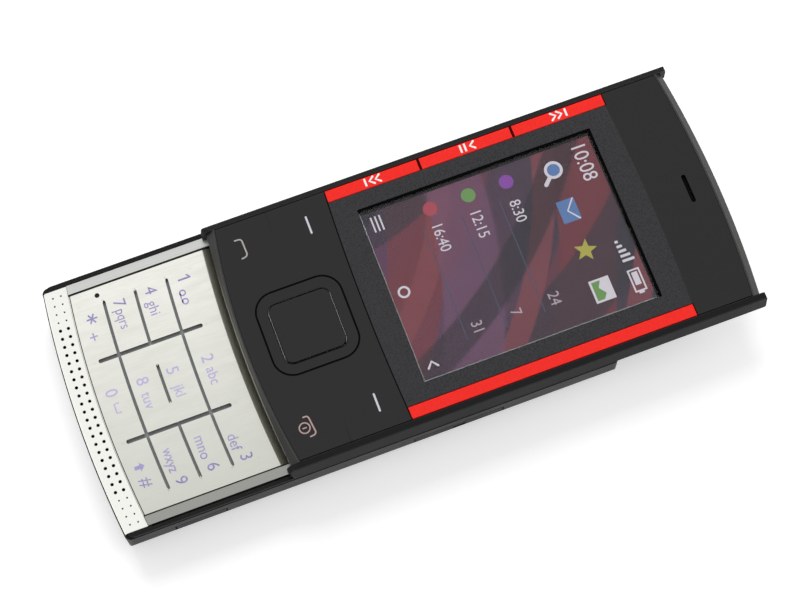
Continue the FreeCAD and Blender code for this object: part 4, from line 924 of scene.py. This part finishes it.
class PHONE_OT_screen(bpy.types.Operator):
    """Adds the lit picture under the window, with its clock, bars and small signs"""
    bl_idname = "phone.screen"
    bl_label = "Screen picture"

    def execute(self, context):
        sizes = settings().sizes
        edge_x = sizes.screen_width / MM / 2
        middle = (pane_low.y + pane_high.y) / MM / 2
        low_y, high_y = middle - sizes.screen_height / MM / 2, middle + sizes.screen_height / MM / 2
        top = top_of("display_module")
        # Painted shade: the picture stops short at its left side and top, where the black edge of the screen
        # glass and the shadowed recess wall show
        mask = 0.4
        build("screen_picture", ["lit_picture"], "slide",
              [([rectangle(mask - edge_x, edge_x, low_y, high_y - mask)], top - 0.01, top + 0.02)])
        # Painted highlight: a grey line beside the picture, at its right and its foot, where the edge of the
        # recess catches the light
        edge = 0.17
        build("screen_edge_highlight", ["edge_highlight_grey"], "slide",
              [([rectangle(edge_x, edge_x + edge, low_y - edge, high_y)], top - 0.01, top + 0.03),
               ([rectangle(-edge_x, edge_x, low_y - edge, low_y)], top - 0.01, top + 0.03)])

        white, dim, plum, yellow, blue, green, rose, slate = range(len(LIT_MARKS))
        z0, z1, z2 = top + 0.02, top + 0.03, top + 0.04
        shape = bmesh.new()

        def area(points, look, high=z1):
            slab(shape, [points], z0, high, look)

        def digits(text, height, x, y, look=white):
            write(shape, look, text, height, (x, y), z0, z1, narrow=0.88)

        # top line: clock at the left, signal bars and battery at the right
        digits("10:08", 2.9, -11.6, high_y - 2.7)
        for i in range(5):
            x = 4.4 + i * 0.95
            area(rectangle(x, x + 0.5, high_y - 3.6, high_y - 3.0 + i * 0.42), white)
        shell, hollow, tip, charge = [rectangle(10.4 + x0, 10.4 + x1, high_y - 2.5 - half, high_y - 2.5 + half)
                                      for x0, x1, half in ((0, 4.4, 1.15), (0.3, 4.1, 0.85), (4.4, 4.8, 0.5),
                                                           (0.6, 3.1, 0.55))]
        slab(shape, [shell, hollow], z0, z1, white)
        area(tip, white)
        area(charge, white)
        # a row of four signs
        row = high_y - 9.0
        slab(shape, circle_line((-12.3, row + 0.3), 1.45, 0.55), z0, z1, white)
        area(disc((-12.3, row + 0.3), 1.2), blue)
        area(stroke([(-11.1, row - 0.9), (-10.0, row - 2.0)], 0.75), white)
        area(rectangle(-6.2, -1.8, row - 1.7, row + 1.7), blue)
        area(stroke([(-6.0, row + 1.4), (-4.0, row - 0.2), (-2.0, row + 1.4)], 0.3), white, z2)
        star = []
        for i in range(10):
            star += arc((4.1, row), 2.2 if i % 2 == 0 else 0.95, 90 + 36 * i, 90 + 36 * i, 1)[:1]
        area(star, yellow)
        area(rectangle(9.9, 14.3, row - 1.9, row + 1.9), white)
        area([(10.3, row - 1.5), (13.9, row - 1.5), (13.9, row - 0.2), (12.9, row + 0.5), (11.6, row - 0.5),
              (10.3, row + 0.2)], green, z2)
        # three lines of times, each with its sign
        times = (("8:30", "24", plum), ("12:15", "7", green), ("16:40", "31", rose))
        for i, (text, more, look) in enumerate(times):
            y = row - 8.6 - i * 7.4
            area(disc((-13.2, y), 1.35), look)
            digits(text, 2.15, -7.2, y + 0.1)
            digits(more, 2.15, 10.6, y + 0.1, dim)
            area(rectangle(-10.2, 12.5, y - 2.6, y - 2.42), slate)
        # marks over the soft keys
        foot = low_y + 2.3
        for i in range(3):
            area(rectangle(-15.4, -12.4, foot - 0.9 + i * 0.8, foot - 0.6 + i * 0.8), white)
        slab(shape, circle_line((0, foot), 0.95, 0.4), z0, z1, white)
        area(stroke([(14.9, foot - 0.9), (13.8, foot), (14.9, foot + 0.9)], 0.4), white)
        to_piece(close_shape(shape), "screen_signs", list(LIT_MARKS), "slide")
        return {"FINISHED"}


class PHONE_OT_earpiece_mesh(bpy.types.Operator):
    """Adds the fine wire mesh in the earpiece slot, over a flat black sheet of painted shade"""
    bl_idname = "phone.earpiece_mesh"
    bl_label = "Earpiece mesh"

    def execute(self, context):
        pitch = settings().sizes.wire_pitch / MM
        width, height, wire = 5.4, 0.9, 0.045
        middle, z = 55.95, 13.15
        x0, y0 = -width / 2, middle - height / 2
        # Painted shade: a flat black sheet under the mesh, where the slot lies in shadow
        build("earpiece_shade_sheet", ["painted_shade_black"], "slide",
              [([rectangle(x0, -x0, y0, y0 + height)], z - 0.12, z - 0.08)])
        across, along, quarter = round(width / pitch), round(height / pitch), math.pi / 2
        rows = [(across + 1, (x0, middle, z), (width / across, 0, 0), height, wire, (quarter, 0, 0)),
                (along + 1, (0, y0, z), (0, height / along, 0), width, wire, (0, quarter, 0))]
        look = "woven_black_polyester"
        to_piece(wire_rows(rows, look), "earpiece_mesh", [look], "slide")
        return {"FINISHED"}


class PHONE_OT_sheet_webs(bpy.types.Operator):
    """Adds the thin skin that joins the keys of the plate, and those of the face, into one sheet"""
    bl_idname = "phone.sheet_webs"
    bl_label = "Sheet webs"

    def execute(self, context):
        width, thick, kerf = 0.13, 0.004, 0.025
        # The slots' ends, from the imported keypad
        side_end, long_low, long_high, short_end = 18.29, -54.54, -34.83, 3.56
        row_radius = 250.0
        edge = -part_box("key_1")[0].x / MM + kerf
        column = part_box("key_2")[1].x / MM + kerf
        swing = column ** 2 / (2 * row_radius)
        lines = [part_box(key)[1].y / MM + kerf - swing for key in ("key_2", "key_5", "key_8", "key_0")]
        lines.append(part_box("key_0")[0].y / MM - kerf)

        def across(line, x0, x1):
            return bowed(line, row_radius, x0, x1, 16)

        def skin(name, look, body, top, runs):
            build(name, [look], body, [([stroke(run, width)], top - 0.001, top + thick) for run in runs])

        rise = edge ** 2 / (2 * row_radius)
        runs = [across(lines[0], -edge, edge), across(lines[4], -edge, edge)]
        for side in (-1, 1):
            runs.append([(side * edge, lines[4] + rise), (side * edge, lines[0] + rise)])
            runs.append([(side * column, long_high + 0.02), (side * column, lines[0] + swing)])
            runs.append([(side * column, lines[4] + swing), (side * column, long_low - 0.02)])
            runs.append(across(lines[2], side * (short_end + 0.02), side * (column - 0.3)))
            for line in lines[1:4]:
                runs.append(across(line, side * side_end, side * edge))
        skin("keypad_web", "brushed_stainless_plate", "base", top_of("key_5"), runs)

        ring_low, ring_high = [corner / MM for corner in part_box("nav_ring")]
        face_low, face_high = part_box("call_key")[0].y / MM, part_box("soft_key_left")[1].y / MM
        side = -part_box("call_key")[0].x / MM - 0.1
        middle = (ring_low.y + ring_high.y) / 2
        clear = 0.2
        runs = [[(-side, middle), (ring_low.x - clear, middle)],
                [(ring_high.x + clear, middle), (side, middle)],
                [(0, face_low + 0.1), (0, ring_low.y - clear)],
                [(0, ring_high.y + clear), (0, face_high - 0.75)]]
        skin("face_web", "gloss_black_acrylic", "slide", top_of("call_key"), runs)
        return {"FINISHED"}


class PHONE_OT_seals(bpy.types.Operator):
    """Adds painted shade round the window and in the grooves and grille dimples, the seal beside the grille and
    the microphone's gauze
    """
    bl_idname = "phone.seals"
    bl_label = "Seals"

    def execute(self, context):
        low_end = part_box("lower_frame")[0].y / MM
        x0, y0, x1, y1 = pane_low.x / MM, pane_low.y / MM, pane_high.x / MM, pane_high.y / MM
        high = pane_high.z / MM
        # Painted shade: a black ring in the gap round the window
        liner = [rectangle(x0 - g, x1 + g, y0 - g, y1 + g) for g in (0.06, 0.01)]
        # painted shade: a black border on the window at its left side and its top, where the recess lies in
        # shadow
        border = 0.5
        shade_border = [rectangle(x0, x0 + border, y0, y1), rectangle(x0 + border, x1, y1 - border, y1)]
        build("window_edge_shade", ["painted_shade_black"], "slide",
              [(liner, top_of("display_module"), high)]
              + [([outline], high - 0.001, high + 0.008) for outline in shade_border])

        # along the grille's inner edge, which follows an arc
        line, radius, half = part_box("speaker_grille")[1].y / MM, 180.0, 21.4
        top = top_of("keypad_sheet")
        run = bowed(line - half ** 2 / (2 * radius), radius, -half, half, 40)
        build("grille_seal", ["black_nylon"], "base",
              [([stroke(run, 0.16)], top - 0.15, top + 0.012)])

        # painted shade: black floors in the small blind dimples at both ends of the grille's rows of holes
        pitch, last, bow = 1.583, 14, 205.0
        top = top_of("speaker_grille")
        places = [(x, low_end + row + x * x / (2 * bow)) for row in (3.32, 1.82)
                  for i in range(last - 3, last + 1) for x in (-i * pitch, i * pitch)]
        build("grille_dimple_shade", ["painted_shade_black"], "base",
              [([disc(place, 0.15, 12)], top - 0.1, top - 0.06) for place in places])

        # painted shade: black lines in the grooves round the navigation ring and below the screen frame
        top = top_of("call_key")
        ring_low, ring_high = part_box("nav_ring")
        middle = (ring_low.y + ring_high.y) / MM / 2
        quarters = ((1, 1, 0), (-1, 1, 90), (-1, -1, 180), (1, -1, 270))
        loops = []
        for out in (0.36, 0.06):
            corner = 3.6 + out
            flat = ring_high.x / MM + out - corner
            loops.append([point for x, y, start in quarters
                          for point in arc((x * flat, middle + y * flat), corner, start, start + 90, 8)])
        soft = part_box("soft_key_left")
        side, bow = -soft[0].x / MM, 400.0
        line = soft[1].y / MM + 0.02 - side ** 2 / (2 * bow)
        below = stroke(bowed(line, bow, -side, side, 32), 0.22)
        build("groove_shade_lines", ["painted_shade_black"], "slide",
              [(groove, top - 0.002, top + 0.007) for groove in (loops, [below])])

        # under the plate's small hole
        top = top_of("keypad_sheet")
        build("microphone_gauze", ["woven_black_polyester"], "base",
              [([disc((-19.91, -50.92), 0.44)], top - 0.2, top - 0.04)])
        return {"FINISHED"}


PIECES = ["camera", "case", "keys", "inside", "keypad_print", "face_print", "music_print", "screen",
          "earpiece_mesh", "sheet_webs", "seals", "stage"]


class PHONE_PT_panel(bpy.types.Panel):
    """Lists the pieces and their settings"""
    bl_idname = "PHONE_PT_panel"
    bl_label = "Slider phone"
    bl_space_type = "VIEW_3D"
    bl_region_type = "UI"
    bl_category = "Phone"

    def draw(self, context):
        for group in (settings().colours, settings().sizes, settings().studio):
            box = self.layout.box()
            for name in group.__annotations__:
                box.prop(group, name)
        for name in PIECES:
            self.layout.operator(f"phone.{name}")


CLASSES = (PhoneColours, PhoneSizes, StudioSettings, PhoneSettings, PHONE_OT_camera, PHONE_OT_stage,
           PHONE_OT_case, PHONE_OT_keys, PHONE_OT_inside, PHONE_OT_keypad_print, PHONE_OT_face_print,
           PHONE_OT_music_print, PHONE_OT_screen, PHONE_OT_earpiece_mesh, PHONE_OT_sheet_webs,
           PHONE_OT_seals, PHONE_PT_panel)


def register():
    for item in CLASSES:
        bpy.utils.register_class(item)
    bpy.types.Scene.slider_phone = PointerProperty(type=PhoneSettings)


def unregister():
    del bpy.types.Scene.slider_phone
    for item in reversed(CLASSES):
        bpy.utils.unregister_class(item)


def main():
    register()
    for name in PIECES:
        getattr(bpy.ops.phone, name)()


if __name__ == "__main__":
    main()
